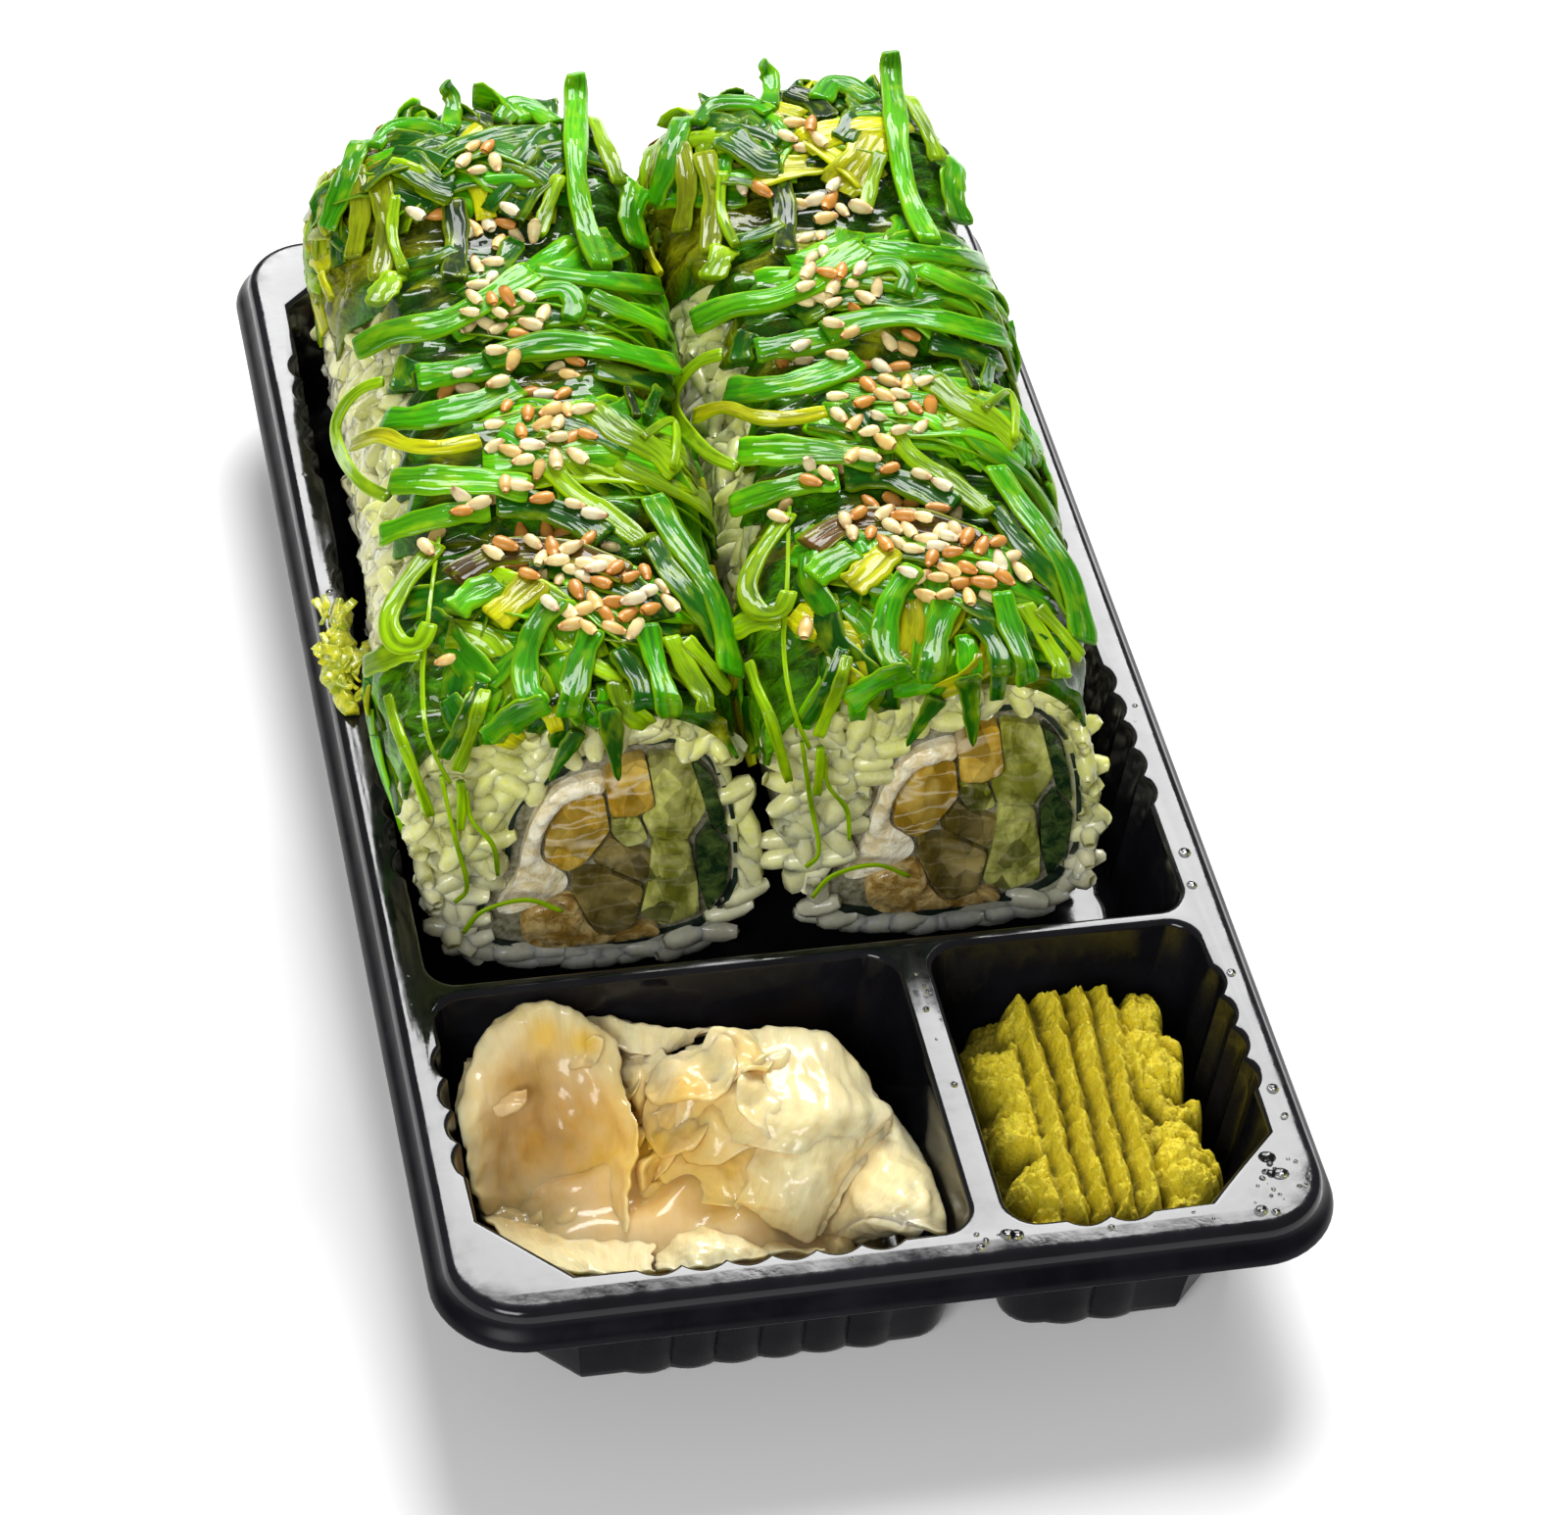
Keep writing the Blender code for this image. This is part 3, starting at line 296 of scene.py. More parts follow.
# Sesame: middle and half reach of each cluster in photo pixels and its number of seeds, then the half length,
# width and thickness of a seed, and the colours that seeds have
SEED_CLUSTERS = (
    (490, 165, 26, 16, 9), (440, 222, 18, 20, 2), (480, 237, 9, 9, 1), (515, 232, 34, 18, 7),
    (495, 282, 18, 14, 5), (512, 322, 46, 24, 13), (486, 395, 34, 22, 4), (510, 367, 18, 8, 2),
    (590, 377, 26, 8, 3), (552, 440, 52, 44, 30), (482, 514, 24, 12, 4), (540, 500, 26, 14, 3),
    (600, 522, 22, 12, 2), (450, 560, 18, 12, 2), (562, 566, 62, 24, 19), (622, 614, 62, 34, 31),
    (455, 676, 4, 4, 1),
)
SEED_SIZE = (1.85, 0.98, 0.72)
SEED_COLOURS = ((0.84, 0.68, 0.33), (0.80, 0.54, 0.18), (0.88, 0.79, 0.50), (0.64, 0.28, 0.045))

# Ginger slices: nets of points (photo x, photo y, height over the surface the tray stands on)
GINGER_NETS = {
    "ginger_hood": (
        ((471, 1148, 13), (498, 1070, 15), (545, 1044, 16), (589, 1048, 16), (630, 1080, 15)),
        ((463, 1137, 19), (497, 1052, 22), (548, 1023, 24), (591, 1034, 23), (633, 1067, 20)),
        ((471, 1155, 20), (517, 1092, 22), (556, 1074, 22), (593, 1080, 21), (634, 1100, 19)),
        ((478, 1185, 18), (524, 1148, 16), (565, 1141, 14), (608, 1148, 15), (652, 1157, 18)),
        ((485, 1218, 15), (526, 1200, 12), (571, 1203, 10), (608, 1211, 11), (642, 1200, 16)),
        ((498, 1240, 11), (537, 1237, 9), (578, 1244, 8), (611, 1252, 9), (638, 1257, 13)),
    ),
    "ginger_crumple": (
        ((702, 1092, 12), (752, 1074, 14), (793, 1067, 15), (837, 1070, 15), (870, 1100, 13)),
        ((702, 1068, 18), (753, 1055, 22), (789, 1048, 23), (841, 1054, 23), (880, 1089, 19)),
        ((685, 1107, 18), (733, 1104, 23), (785, 1107, 24), (844, 1100, 24), (896, 1118, 19)),
        ((667, 1141, 16), (715, 1129, 21), (774, 1141, 23), (841, 1141, 24), (907, 1141, 19)),
        ((660, 1174, 14), (704, 1163, 17), (752, 1166, 20), (807, 1178, 21), (870, 1174, 19)),
    ),
    "ginger_pane": (
        ((685, 1166, 15), (726, 1163, 17), (763, 1163, 18), (793, 1174, 18)),
        ((670, 1202, 12), (719, 1200, 15), (763, 1196, 16), (796, 1200, 16)),
        ((689, 1224, 11), (722, 1229, 13), (774, 1232, 14), (804, 1218, 15)),
    ),
    "ginger_wing": (
        ((778, 1159, 20), (822, 1148, 22), (867, 1137, 22), (911, 1133, 17)),
        ((763, 1192, 18), (811, 1192, 20), (855, 1178, 20), (907, 1155, 16)),
        ((752, 1222, 15), (800, 1229, 16), (837, 1226, 16), (874, 1192, 15)),
        ((744, 1231, 13), (785, 1252, 12), (827, 1267, 11), (841, 1237, 13)),
    ),
    "ginger_curl": (
        ((889, 1111, 14), (922, 1148, 14), (959, 1196, 13), (969, 1222, 11)),
        ((874, 1159, 15), (911, 1178, 17), (948, 1207, 17), (971, 1244, 15)),
        ((855, 1207, 13), (889, 1218, 17), (926, 1226, 19), (968, 1259, 15)),
        ((835, 1255, 9), (870, 1244, 13), (896, 1240, 17), (944, 1252, 18)),
        ((848, 1274, 6), (881, 1266, 9), (907, 1259, 13), (937, 1265, 14)),
    ),
    "ginger_strip": (
        ((589, 1048, 14), (637, 1067, 14), (682, 1063, 14), (719, 1052, 14)),
        ((591, 1035, 18), (637, 1041, 19), (682, 1048, 19), (724, 1048, 18)),
        ((604, 1052, 18), (641, 1072, 18), (670, 1076, 17), (702, 1068, 16)),
    ),
    "ginger_middle": (
        ((637, 1070, 15), (659, 1074, 16), (685, 1074, 15)),
        ((628, 1096, 15), (652, 1096, 17), (682, 1092, 15)),
        ((637, 1126, 13), (652, 1126, 16), (672, 1111, 14)),
        ((648, 1155, 11), (656, 1148, 13), (670, 1137, 12)),
    ),
    "ginger_shade": (
        ((726, 1037, 10), (756, 1035, 13), (796, 1041, 12)),
        ((719, 1059, 10), (752, 1055, 13), (793, 1055, 12)),
        ((722, 1072, 9), (748, 1070, 11), (778, 1070, 10)),
    ),
    "ginger_fold": (
        ((685, 1159, 14), (696, 1159, 14), (711, 1163, 13)),
        ((648, 1181, 12), (659, 1185, 15), (689, 1174, 13)),
        ((639, 1207, 10), (656, 1207, 13), (670, 1200, 11)),
        ((639, 1229, 8), (656, 1226, 10), (670, 1215, 9)),
    ),
    "ginger_front": (
        ((685, 1255, 10), (715, 1249, 12), (744, 1255, 12), (778, 1270, 10)),
        ((669, 1272, 11), (711, 1266, 15), (752, 1268, 15), (783, 1277, 12)),
        ((670, 1296, 13), (711, 1294, 15), (748, 1287, 15), (781, 1283, 13)),
    ),
    "ginger_wet": (
        ((485, 1229, 10), (534, 1244, 9), (585, 1252, 9), (637, 1255, 10), (674, 1255, 10)),
        ((510, 1259, 13), (548, 1263, 13), (589, 1270, 13), (637, 1274, 13), (667, 1274, 13)),
        ((552, 1292, 16), (582, 1296, 16), (608, 1298, 16), (637, 1298, 16), (667, 1297, 16)),
    ),
    "ginger_lump": (
        ((641, 1237, 10), (667, 1222, 12), (693, 1229, 11)),
        ((645, 1259, 10), (670, 1244, 13), (696, 1244, 11)),
        ((652, 1274, 10), (674, 1263, 12), (700, 1255, 10)),
    ),
    "ginger_low": (
        ((715, 1237, 6), (748, 1237, 7), (800, 1244, 7), (833, 1266, 6)),
        ((719, 1252, 8), (756, 1255, 9), (800, 1266, 9), (837, 1276, 8)),
        ((781, 1281, 12), (807, 1277, 12), (830, 1276, 12), (841, 1276, 12)),
    ),
}
GINGER_NODES = ("ginger_hood", "ginger_crumple", "ginger_middle", "ginger_strip", "ginger_front")
GINGER_THICKNESS = 1.1
GINGER_PALE = (0.97, 0.80, 0.47)
GINGER_AMBER = (0.86, 0.49, 0.045)
# Deep brown painted as shade in the hollow of the hood
GINGER_DEEP = (0.46, 0.24, 0.03)
GINGER_CLEAR = (0.52, 0.42, 0.19)

# Where the slices are amber or deep: photo x, photo y, height, reach in millimetres, strength and colour
# The deep spots are painted shade in the hood's hollow; the amber ones are the ginger's own colour.
AMBER_SPOTS = (
    (545, 1120, 19.0, 8.0, 0.8, GINGER_DEEP), (560, 1175, 13.0, 10.0, 1.2, GINGER_DEEP),
    (598, 1165, 16.0, 7.0, 1.1, GINGER_DEEP), (585, 1215, 11.0, 7.0, 0.8, GINGER_DEEP),
    (556, 1055, 23.0, 2.6, 1.0, GINGER_AMBER), (640, 1150, 14.0, 5.0, 0.9, GINGER_AMBER),
    (690, 1160, 19.0, 7.0, 0.85, GINGER_AMBER), (676, 1205, 12.0, 6.0, 1.0, GINGER_AMBER),
    (735, 1190, 14.0, 7.0, 0.8, GINGER_AMBER), (520, 1235, 9.0, 7.0, 0.6, GINGER_DEEP),
    (800, 1215, 10.0, 6.0, 0.7, GINGER_AMBER), (765, 1085, 24.0, 5.0, 0.6, GINGER_AMBER),
    (700, 1105, 25.0, 3.5, 0.6, GINGER_AMBER), (850, 1180, 14.0, 4.0, 0.4, GINGER_AMBER),
    (597, 1064, 22.0, 2.2, 1.0, GINGER_AMBER), (727, 1238, 11.0, 4.0, 0.9, GINGER_AMBER),
    (660, 1188, 13.0, 3.0, 1.0, GINGER_AMBER), (525, 1258, 7.0, 8.0, 0.8, GINGER_CLEAR),
    (590, 1282, 6.0, 6.0, 0.6, GINGER_CLEAR), (640, 1222, 9.0, 6.0, 0.9, GINGER_AMBER),
    (690, 1250, 8.0, 7.0, 0.9, GINGER_AMBER), (760, 1256, 8.0, 5.0, 0.8, GINGER_AMBER),
)

# Smaller slices between and over the large ones: photo x, photo y, height and reach in millimetres
GINGER_CRUMBS = (
    (652, 1092, 15, 3.6), (664, 1118, 16, 3.8), (655, 1148, 14, 3.4), (670, 1172, 14, 3.6),
    (642, 1198, 11, 3.8), (657, 1226, 11, 3.6), (612, 1240, 9, 3.6), (575, 1266, 9, 4.0),
    (622, 1274, 11, 4.2), (545, 1252, 8, 3.6), (700, 1236, 10, 3.6), (737, 1246, 9, 3.6),
    (772, 1240, 9, 3.6), (812, 1264, 8, 3.4), (690, 1272, 11, 4.0), (846, 1282, 9, 3.4),
    (640, 1064, 16, 3.4), (606, 1066, 18, 3.0), (630, 1110, 15, 3.0), (636, 1172, 12, 3.6),
    (706, 1092, 23.5, 5.4), (752, 1074, 25.0, 6.2), (796, 1112, 24.0, 6.8), (738, 1132, 21.5, 6.0),
    (690, 1140, 18.5, 5.0), (812, 1168, 17.5, 6.4), (760, 1190, 15.0, 6.0), (862, 1186, 13.5, 5.4),
    (716, 1208, 12.5, 5.0), (597, 1064, 22.5, 2.8), (520, 1120, 21.0, 2.4), (600, 1236, 10.5, 5.5),
    (540, 1238, 9.5, 5.2), (660, 1262, 9.5, 5.0), (760, 1262, 9.0, 4.6),
)

# Summit of the crumpled heap (photo x, photo y, height), and its radius
CRUMPLE_MIDDLE = (758, 1118, 20.0)
CRUMPLE_RADIUS = 15.0

# Wasabi: edges of the paste and its comb ridges, each from back to front
WASABI_BACK = -57.0
WASABI_FRONT = -101.2
WASABI_MIDDLE_TOP = 16.8
WASABI_EDGE_TOP = 12.4
RIDGE_BACK_X = (27.4, 31.8, 35.6, 39.2)
RIDGE_FRONT_X = (26.0, 29.2, 32.6, 36.2)
RIDGE_DEPTH = 4.4

# Fillings: spacing of the points on their cut faces, and how deep they reach into a roll
FILLING_CELL = 0.7
FILLING_DEPTH = 6.0

# Dome and unevenness of a filling's cut face, and whether its outline is round
FILLING_LOOK = {
    "cheese": (0.8, 0.5, True), "squash": (0.25, 0.3, False), "cucumber": (0.25, 0.35, False),
    "skin": (0.2, 0.25, False), "radish": (0.25, 0.3, False), "tofu": (0.5, 0.5, True),
}

# Moist finishes: name, two colours, roughness, subsurface, scale of the blotches and relief, then the stretch
# of the blotches, the share of pale smears and the contrast between facets, painted as light and shade
SOFT_FINISHES = {
    "cheese": ("cream cheese", ((0.74, 0.62, 0.34), (0.94, 0.88, 0.68)), 0.35, 0.3, 420.0, 0.9),
    "squash": (
        "amber slices", ((0.34, 0.20, 0.012), (0.58, 0.41, 0.08)), 0.2, 0.35, 200.0, 0.5,
        (1.0, 1.0, 0.35), 0.55, 0.3,
    ),
    "cucumber": (
        "cucumber", ((0.13, 0.14, 0.012), (0.42, 0.43, 0.12)), 0.2, 0.35, 200.0, 0.5,
        (1.0, 1.0, 0.6), 0.12, 0.6,
    ),
    "skin": ("cucumber skin", ((0.006, 0.022, 0.006), (0.06, 0.10, 0.02)), 0.25, 0.1, 380.0, 0.7),
    "radish": (
        "grey filling", ((0.10, 0.075, 0.012), (0.24, 0.19, 0.06)), 0.18, 0.3, 160.0, 0.5,
        (1.0, 1.0, 0.5), 0.1, 0.45,
    ),
    "tofu": ("tan filling", ((0.26, 0.15, 0.025), (0.60, 0.45, 0.18)), 0.35, 0.3, 380.0, 0.9),
    "shred": ("pale seaweed", ((0.30, 0.38, 0.005), (0.72, 0.70, 0.025)), 0.3, 0.3, 500.0, 0.6),
}

# Distances from the camera at which a ray may meet the salad: first, last and step
RAY_REACH = (560.0, 860.0, 0.35)

# Strips of seaweed: sides of their cross-section, thicknesses, and how high the tendrils lie
STRIP_SIDES = 12
STRIP_THICKNESS = 1.05
STANDING_THICKNESS = 1.6
TENDRIL_THICKNESS = 0.6
TENDRIL_LIFT = 1.2

# Filler strips: y span, u span, heading and its spread in degrees, length span, width span, count, colours
FILLER_ZONES = (
    ((64.0, 95.0), (-24.0, 22.0), 100.0, 70.0, (10.0, 22.0), (3.2, 6.6), 34, "shaded"),
    ((34.0, 62.0), (-14.0, 24.0), 6.0, 34.0, (12.0, 28.0), (3.2, 6.4), 34, "fresh"),
    ((2.0, 30.0), (-14.0, 24.0), -14.0, 36.0, (12.0, 26.0), (3.2, 6.4), 34, "fresh"),
    ((-30.0, -2.0), (-25.0, 22.0), -60.0, 45.0, (10.0, 22.0), (3.0, 6.0), 34, "mixed"),
    ((-33.0, -27.0), (-24.0, 22.0), -88.0, 20.0, (8.0, 14.0), (2.4, 4.4), 13, "mixed"),
    ((66.0, 92.0), (-38.0, -12.0), 95.0, 50.0, (9.0, 20.0), (1.6, 3.6), 44, "yellow"),
    ((-28.0, -4.0), (-36.0, -24.0), 200.0, 40.0, (9.0, 17.0), (2.0, 4.0), 9, "mixed"),
    ((-30.0, 92.0), (22.0, 34.0), -5.0, 40.0, (9.0, 18.0), (2.4, 4.6), 30, "mixed"),
    ((90.0, 97.0), (-22.0, 20.0), 88.0, 25.0, (8.0, 15.0), (2.6, 4.8), 12, "shaded"),
)

# How far the filler strips may reach across each row
FILLER_REACH = ((-46.0, 40.0), (-40.0, 44.0))

# Tints that each group of filler strips draws from; one that stands there more often is drawn more often
FILLER_COLOURS = {
    # The shaded group leans to dark tints: painted shade over the back roll, with dark seaweed of its own.
    "shaded": ("dark", "bright", "dark", "dark", "lime", "vivid", "yellow", "dark"),
    "fresh": ("bright", "vivid", "bright", "dark", "vivid", "lime"),
    "mixed": ("bright", "dark", "vivid", "lime", "bright", "dark", "yellow"),
    "yellow": ("olive", "lime", "olive", "dark", "yellow", "olive"),
}

# Shred over the left rim: its middle, start and length, and the small strips that fray from it
SHRED_X = -55.2
SHRED_START = 1.0
SHRED_LENGTH = 23.0
SHRED_STRIPS = 26
SHRED_STRIP_THICKNESS = 0.5
SHRED_OUTER_X = -58.4

# How far the ginger and wasabi stand clear of their pocket's walls and floor
WALL_CLEARANCE = 0.45
FLOOR_CLEARANCE = 0.3

# Mound under the ginger: middle, reach, height, and the share of its colour that it keeps, darkened as
# painted shade under the slices
MOUND_MIDDLE = (-22.5, -80.5)
MOUND_REACH = (27.5, 20.5)
MOUND_HEIGHT = 13.5
MOUND_SHADE = 0.8

# Brightness of the slice that lies in the shade behind the others
SHADED_SLICE = 0.12

# Wasabi: its left and right edge, and the number and radii of its clods and crumbs
WASABI_EDGES = (17.2, 48.4)
WASABI_CLODS = (95, (1.8, 4.2))
WASABI_CRUMBS = (1500, (0.4, 1.2))

# Water drops: x span, y span and count, then radius and height up the side of one drop
DROP_ZONES = (
    (40.0, 56.0, -108.0, -98.0, 42), (53.2, 57.0, -95.0, 40.0, 46), (10.8, 14.6, -100.0, -58.0, 16),
    (-50.0, 40.0, -108.5, -105.5, 22), (-57.0, -53.5, -100.0, 90.0, 26), (-40.0, 50.0, 105.8, 108.0, 14),
)
DROP_PROFILE = ((1.0, 0.0), (0.94, 0.16), (0.7, 0.34), (0.36, 0.44))
DROP_TOP = 0.46

# Stage in metres: floor, surround, and the lights with their places, sizes and radiance
STAGE_REACH = 4.0
STAGE_GREY = 0.86
SURROUND_STRENGTH = 0.22
LIGHT_AIM = (0.0, 0.0, 0.03)
LIGHTS = {
    "back window": ((0.20, 0.76, 0.76), (0.62, 0.60), 14.0),
    "front fill": ((-0.50, -0.95, 0.70), (0.6, 0.5), 9.0),
}


def spow(value, power):
    """A power that keeps the sign."""
    return np.sign(value) * np.abs(value) ** power


def unit(vectors):
    """Vectors scaled to length one."""
    length = np.linalg.norm(vectors, axis=-1, keepdims=True)
    return vectors / np.maximum(length, 1e-9)


def noise_at(points, scale, shift=0.0):
    """Smooth noise at each point, about -1 to 1, with features of 1 / scale millimetres."""
    points = np.asarray(points, float)
    flat = points.reshape(-1, 3) * scale + shift
    return np.array([noise.noise(Vector(point)) for point in flat]).reshape(points.shape[:-1])


def stacked(*parts):
    """Coordinates spread to the same shape and joined on a last axis."""
    return np.stack(np.broadcast_arrays(*parts), -1)


def blend(first, second, share):
    """Values from first to second, at shares from 0 to 1."""
    return (1.0 - share) * np.asarray(first) + share * np.asarray(second)


def ramp(value, start, end):
    """Share from 0 to 1 of the way from start to end."""
    return np.clip((value - start) / (end - start), 0.0, 1.0)


def curve_through(points, count):
    """Catmull-Rom curve through rows of points, sampled count times, ends included."""
    points = np.asarray(points, float)
    padded = np.concatenate((2 * points[:1] - points[1:2], points, 2 * points[-1:] - points[-2:-1]))
    place = np.linspace(0.0, len(points) - 1.0, count)
    step = np.minimum(place.astype(int), len(points) - 2)
    t = (place - step).reshape((-1,) + (1,) * (points.ndim - 1))
    before, start, end, after = (padded[step + shift] for shift in range(4))
    linear = 0.5 * (end - before)
    square = before - 2.5 * start + 2.0 * end - 0.5 * after
    cube = 0.5 * (after - before) + 1.5 * (start - end)
    return start + linear * t + square * t * t + cube * t * t * t


def closed_curve(corners, steps):
    """A closed Catmull-Rom curve through the corners."""
    corners = np.asarray(corners, float)
    wrapped = np.concatenate((corners[-1:], corners, corners[:2]))
    sampled = curve_through(wrapped, (len(wrapped) - 1) * steps + 1)
    return sampled[steps:-steps - 1]


def turn_faces_out(mesh):
    """Turn every face of a closed mesh outward."""
    shape = bmesh.new()
    shape.from_mesh(mesh)
    bmesh.ops.recalc_face_normals(shape, faces=shape.faces)
    shape.to_mesh(mesh)
    shape.free()


class Heap:
    """Meshes gathered into one piece, with a tint and a place along and across for each point."""

    def __init__(self):
        self.points = []
        self.faces = []
        self.tints = []
        self.places = []
        self.count = 0

    def add(self, points, face_groups, tint=(1.0, 1.0, 1.0), place=(0.0, 0.0, 0.0)):
        """Add one closed shape; tint and place are one value or one for each point."""
        points = np.asarray(points, float)
        self.points.append(points)
        self.faces += [np.asarray(group) + self.count for group in face_groups if len(group)]
        self.tints.append(np.broadcast_to(np.asarray(tint, float), (len(points), 3)))
        self.places.append(np.broadcast_to(np.asarray(place, float), (len(points), 3)))
        self.count += len(points)

    def make(self, name, finish, slot=None, nodes=(), sharp_angle=None, turn_out=True):
        """The object of everything that was gathered, and the nodes that it replaces; its slot is not used.
        """
        points = np.concatenate(self.points)
        corners = np.concatenate([group.ravel() for group in self.faces])
        sizes = np.concatenate([np.full(len(group), group.shape[1]) for group in self.faces])
        starts = np.concatenate(([0], np.cumsum(sizes)[:-1]))
        mesh = bpy.data.meshes.new(name)
        mesh.vertices.add(len(points))
        mesh.vertices.foreach_set("co", (points * MM).astype(np.float32).ravel())
        mesh.loops.add(len(corners))
        mesh.loops.foreach_set("vertex_index", corners.astype(np.int32))
        mesh.polygons.add(len(sizes))
        mesh.polygons.foreach_set("loop_start", starts.astype(np.int32))
        mesh.update(calc_edges=True)
        mesh.validate()
        tints = np.ones((len(points), 4), np.float32)
        tints[:, :3] = np.concatenate(self.tints)
        mesh.attributes.new("tint", "FLOAT_COLOR", "POINT").data.foreach_set("color", tints.ravel())
        places = np.concatenate(self.places).astype(np.float32)
        mesh.attributes.new("place", "FLOAT_VECTOR", "POINT").data.foreach_set("vector", places.ravel())
        mesh.shade_smooth()
        if sharp_angle is not None:
            mesh.set_sharp_from_angle(angle=math.radians(sharp_angle))
        made = bpy.data.objects.new(name, mesh)
        mesh.materials.append(finish)
        bpy.context.collection.objects.link(made)
        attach(made, "root")
        if turn_out:
            turn_faces_out(mesh)
        if nodes:
            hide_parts(*nodes)
        return made

    def tree(self):
        """A search tree over everything that was gathered, in millimetres."""
        polygons = [tuple(face) for group in self.faces for face in group.tolist()]
        return BVHTree.FromPolygons(np.concatenate(self.points).tolist(), polygons)


def neighbours(count):
    """Numbers of the points round a ring, and of the one after each."""
    around = np.arange(count)
    return around, (around + 1) % count


def ring_faces(rings, count):
    """Quads between neighbouring rings of the same count."""
    around, following = neighbours(count)
    quads = stacked(around, following, count + following, count + around)
    return np.concatenate([quads + ring * count for ring in range(rings - 1)])


def tipped_faces(rings, sides):
    """Faces of rings that end in a point at each end; the two points come after the rings."""
    around, following = neighbours(sides)
    end = (rings - 1) * sides
    tip = rings * sides
    tips = (stacked(tip, around, following), stacked(tip + 1, end + following, end + around))
    return [ring_faces(rings, sides), np.concatenate(tips)]


def grid_faces(rows, columns, first=0, flipped=False):
    """Quads of a grid of points given row by row."""
    row = np.arange(rows - 1)[:, None]
    column = np.arange(columns - 1)[None, :]
    corner = (first + row * columns + column).ravel()
    quads = np.stack((corner, corner + 1, corner + columns + 1, corner + columns), 1)
    return quads[:, ::-1] if flipped else quads


def grid_rim(rows, columns):
    """Indices round the edge of a grid of points."""
    top = list(range(columns))
    right = [row * columns + columns - 1 for row in range(1, rows)]
    bottom = [(rows - 1) * columns + column for column in range(columns - 2, -1, -1)]
    left = [row * columns for row in range(rows - 2, 0, -1)]
    return np.array(top + right + bottom + left)


def closed_grid(heap, top, under, tint=(1.0, 1.0, 1.0), place=(0.0, 0.0, 0.0)):
    """A closed sheet from two grids of points of the same size."""
    rows, columns = top.shape[:2]
    count = rows * columns
    rim = grid_rim(rows, columns)
    following = np.roll(rim, -1)
    sides = np.stack((following, rim, rim + count, following + count), 1)
    faces = [grid_faces(rows, columns), grid_faces(rows, columns, count, True), sides]
    points = np.concatenate((top.reshape(-1, 3), under.reshape(-1, 3)))
    heap.add(points, faces, tint, place)


def camera_axes():
    """The camera's right, up and backward directions."""
    azimuth, elevation = CAMERA_AZIMUTH, CAMERA_ELEVATION
    back = Vector((
        math.sin(azimuth) * math.cos(elevation),
        -math.cos(azimuth) * math.cos(elevation),
        math.sin(elevation),
    ))
    level = Vector((-back.x, -back.y, -back.z)).cross(Vector((0.0, 0.0, 1.0))).normalized()
    upright = back.cross(level)
    cosine, sine = math.cos(CAMERA_ROLL), math.sin(CAMERA_ROLL)
    right = level * cosine + upright * sine
    up = upright * cosine - level * sine
    return right, up, back


def add_camera():
    """The camera at the photograph's viewing angle."""
    right, up, back = camera_axes()
    data = bpy.data.cameras.new("camera")
    data.sensor_width = SENSOR_WIDTH
    data.lens = FOCAL_PIXELS / PHOTO_WIDTH * SENSOR_WIDTH
    data.clip_start = 0.01
    camera = bpy.data.objects.new("camera", data)
    columns = (right, up, back, Vector(CAMERA_PLACE * MM))
    for axis, column in enumerate(columns):
        for place in range(3):
            camera.matrix_world[place][axis] = column[place]
    bpy.context.collection.objects.link(camera)
    bpy.context.scene.camera = camera


def camera_rays(pixels):
    """Unit directions from the camera through pixels of the photo."""
    right, up, back = (np.array(axis) for axis in camera_axes())
    pixels = np.asarray(pixels, float)
    across = (pixels[:, :1] - 0.5 * PHOTO_WIDTH) / FOCAL_PIXELS
    above = (0.5 * PHOTO_HEIGHT - pixels[:, 1:2]) / FOCAL_PIXELS
    return unit(right * across + up * above - back)


def at_height(pixels, heights):
    """Points on the camera's rays at the given heights."""
    rays = camera_rays(pixels)
    reach = (np.asarray(heights, float) - CAMERA_PLACE[2]) / rays[:, 2]
    return CAMERA_PLACE + rays * reach[:, None]


def spot_at(x, y, height):
    """The point at a height that one pixel of the photo shows."""
    return at_height(np.array(((x, y),)), [height])[0]


def pixel_size(points):
    """Millimetres that one photo pixel spans at each point."""
    back = np.array(camera_axes()[2])
    depth = (CAMERA_PLACE - points) @ back
    return depth / FOCAL_PIXELS


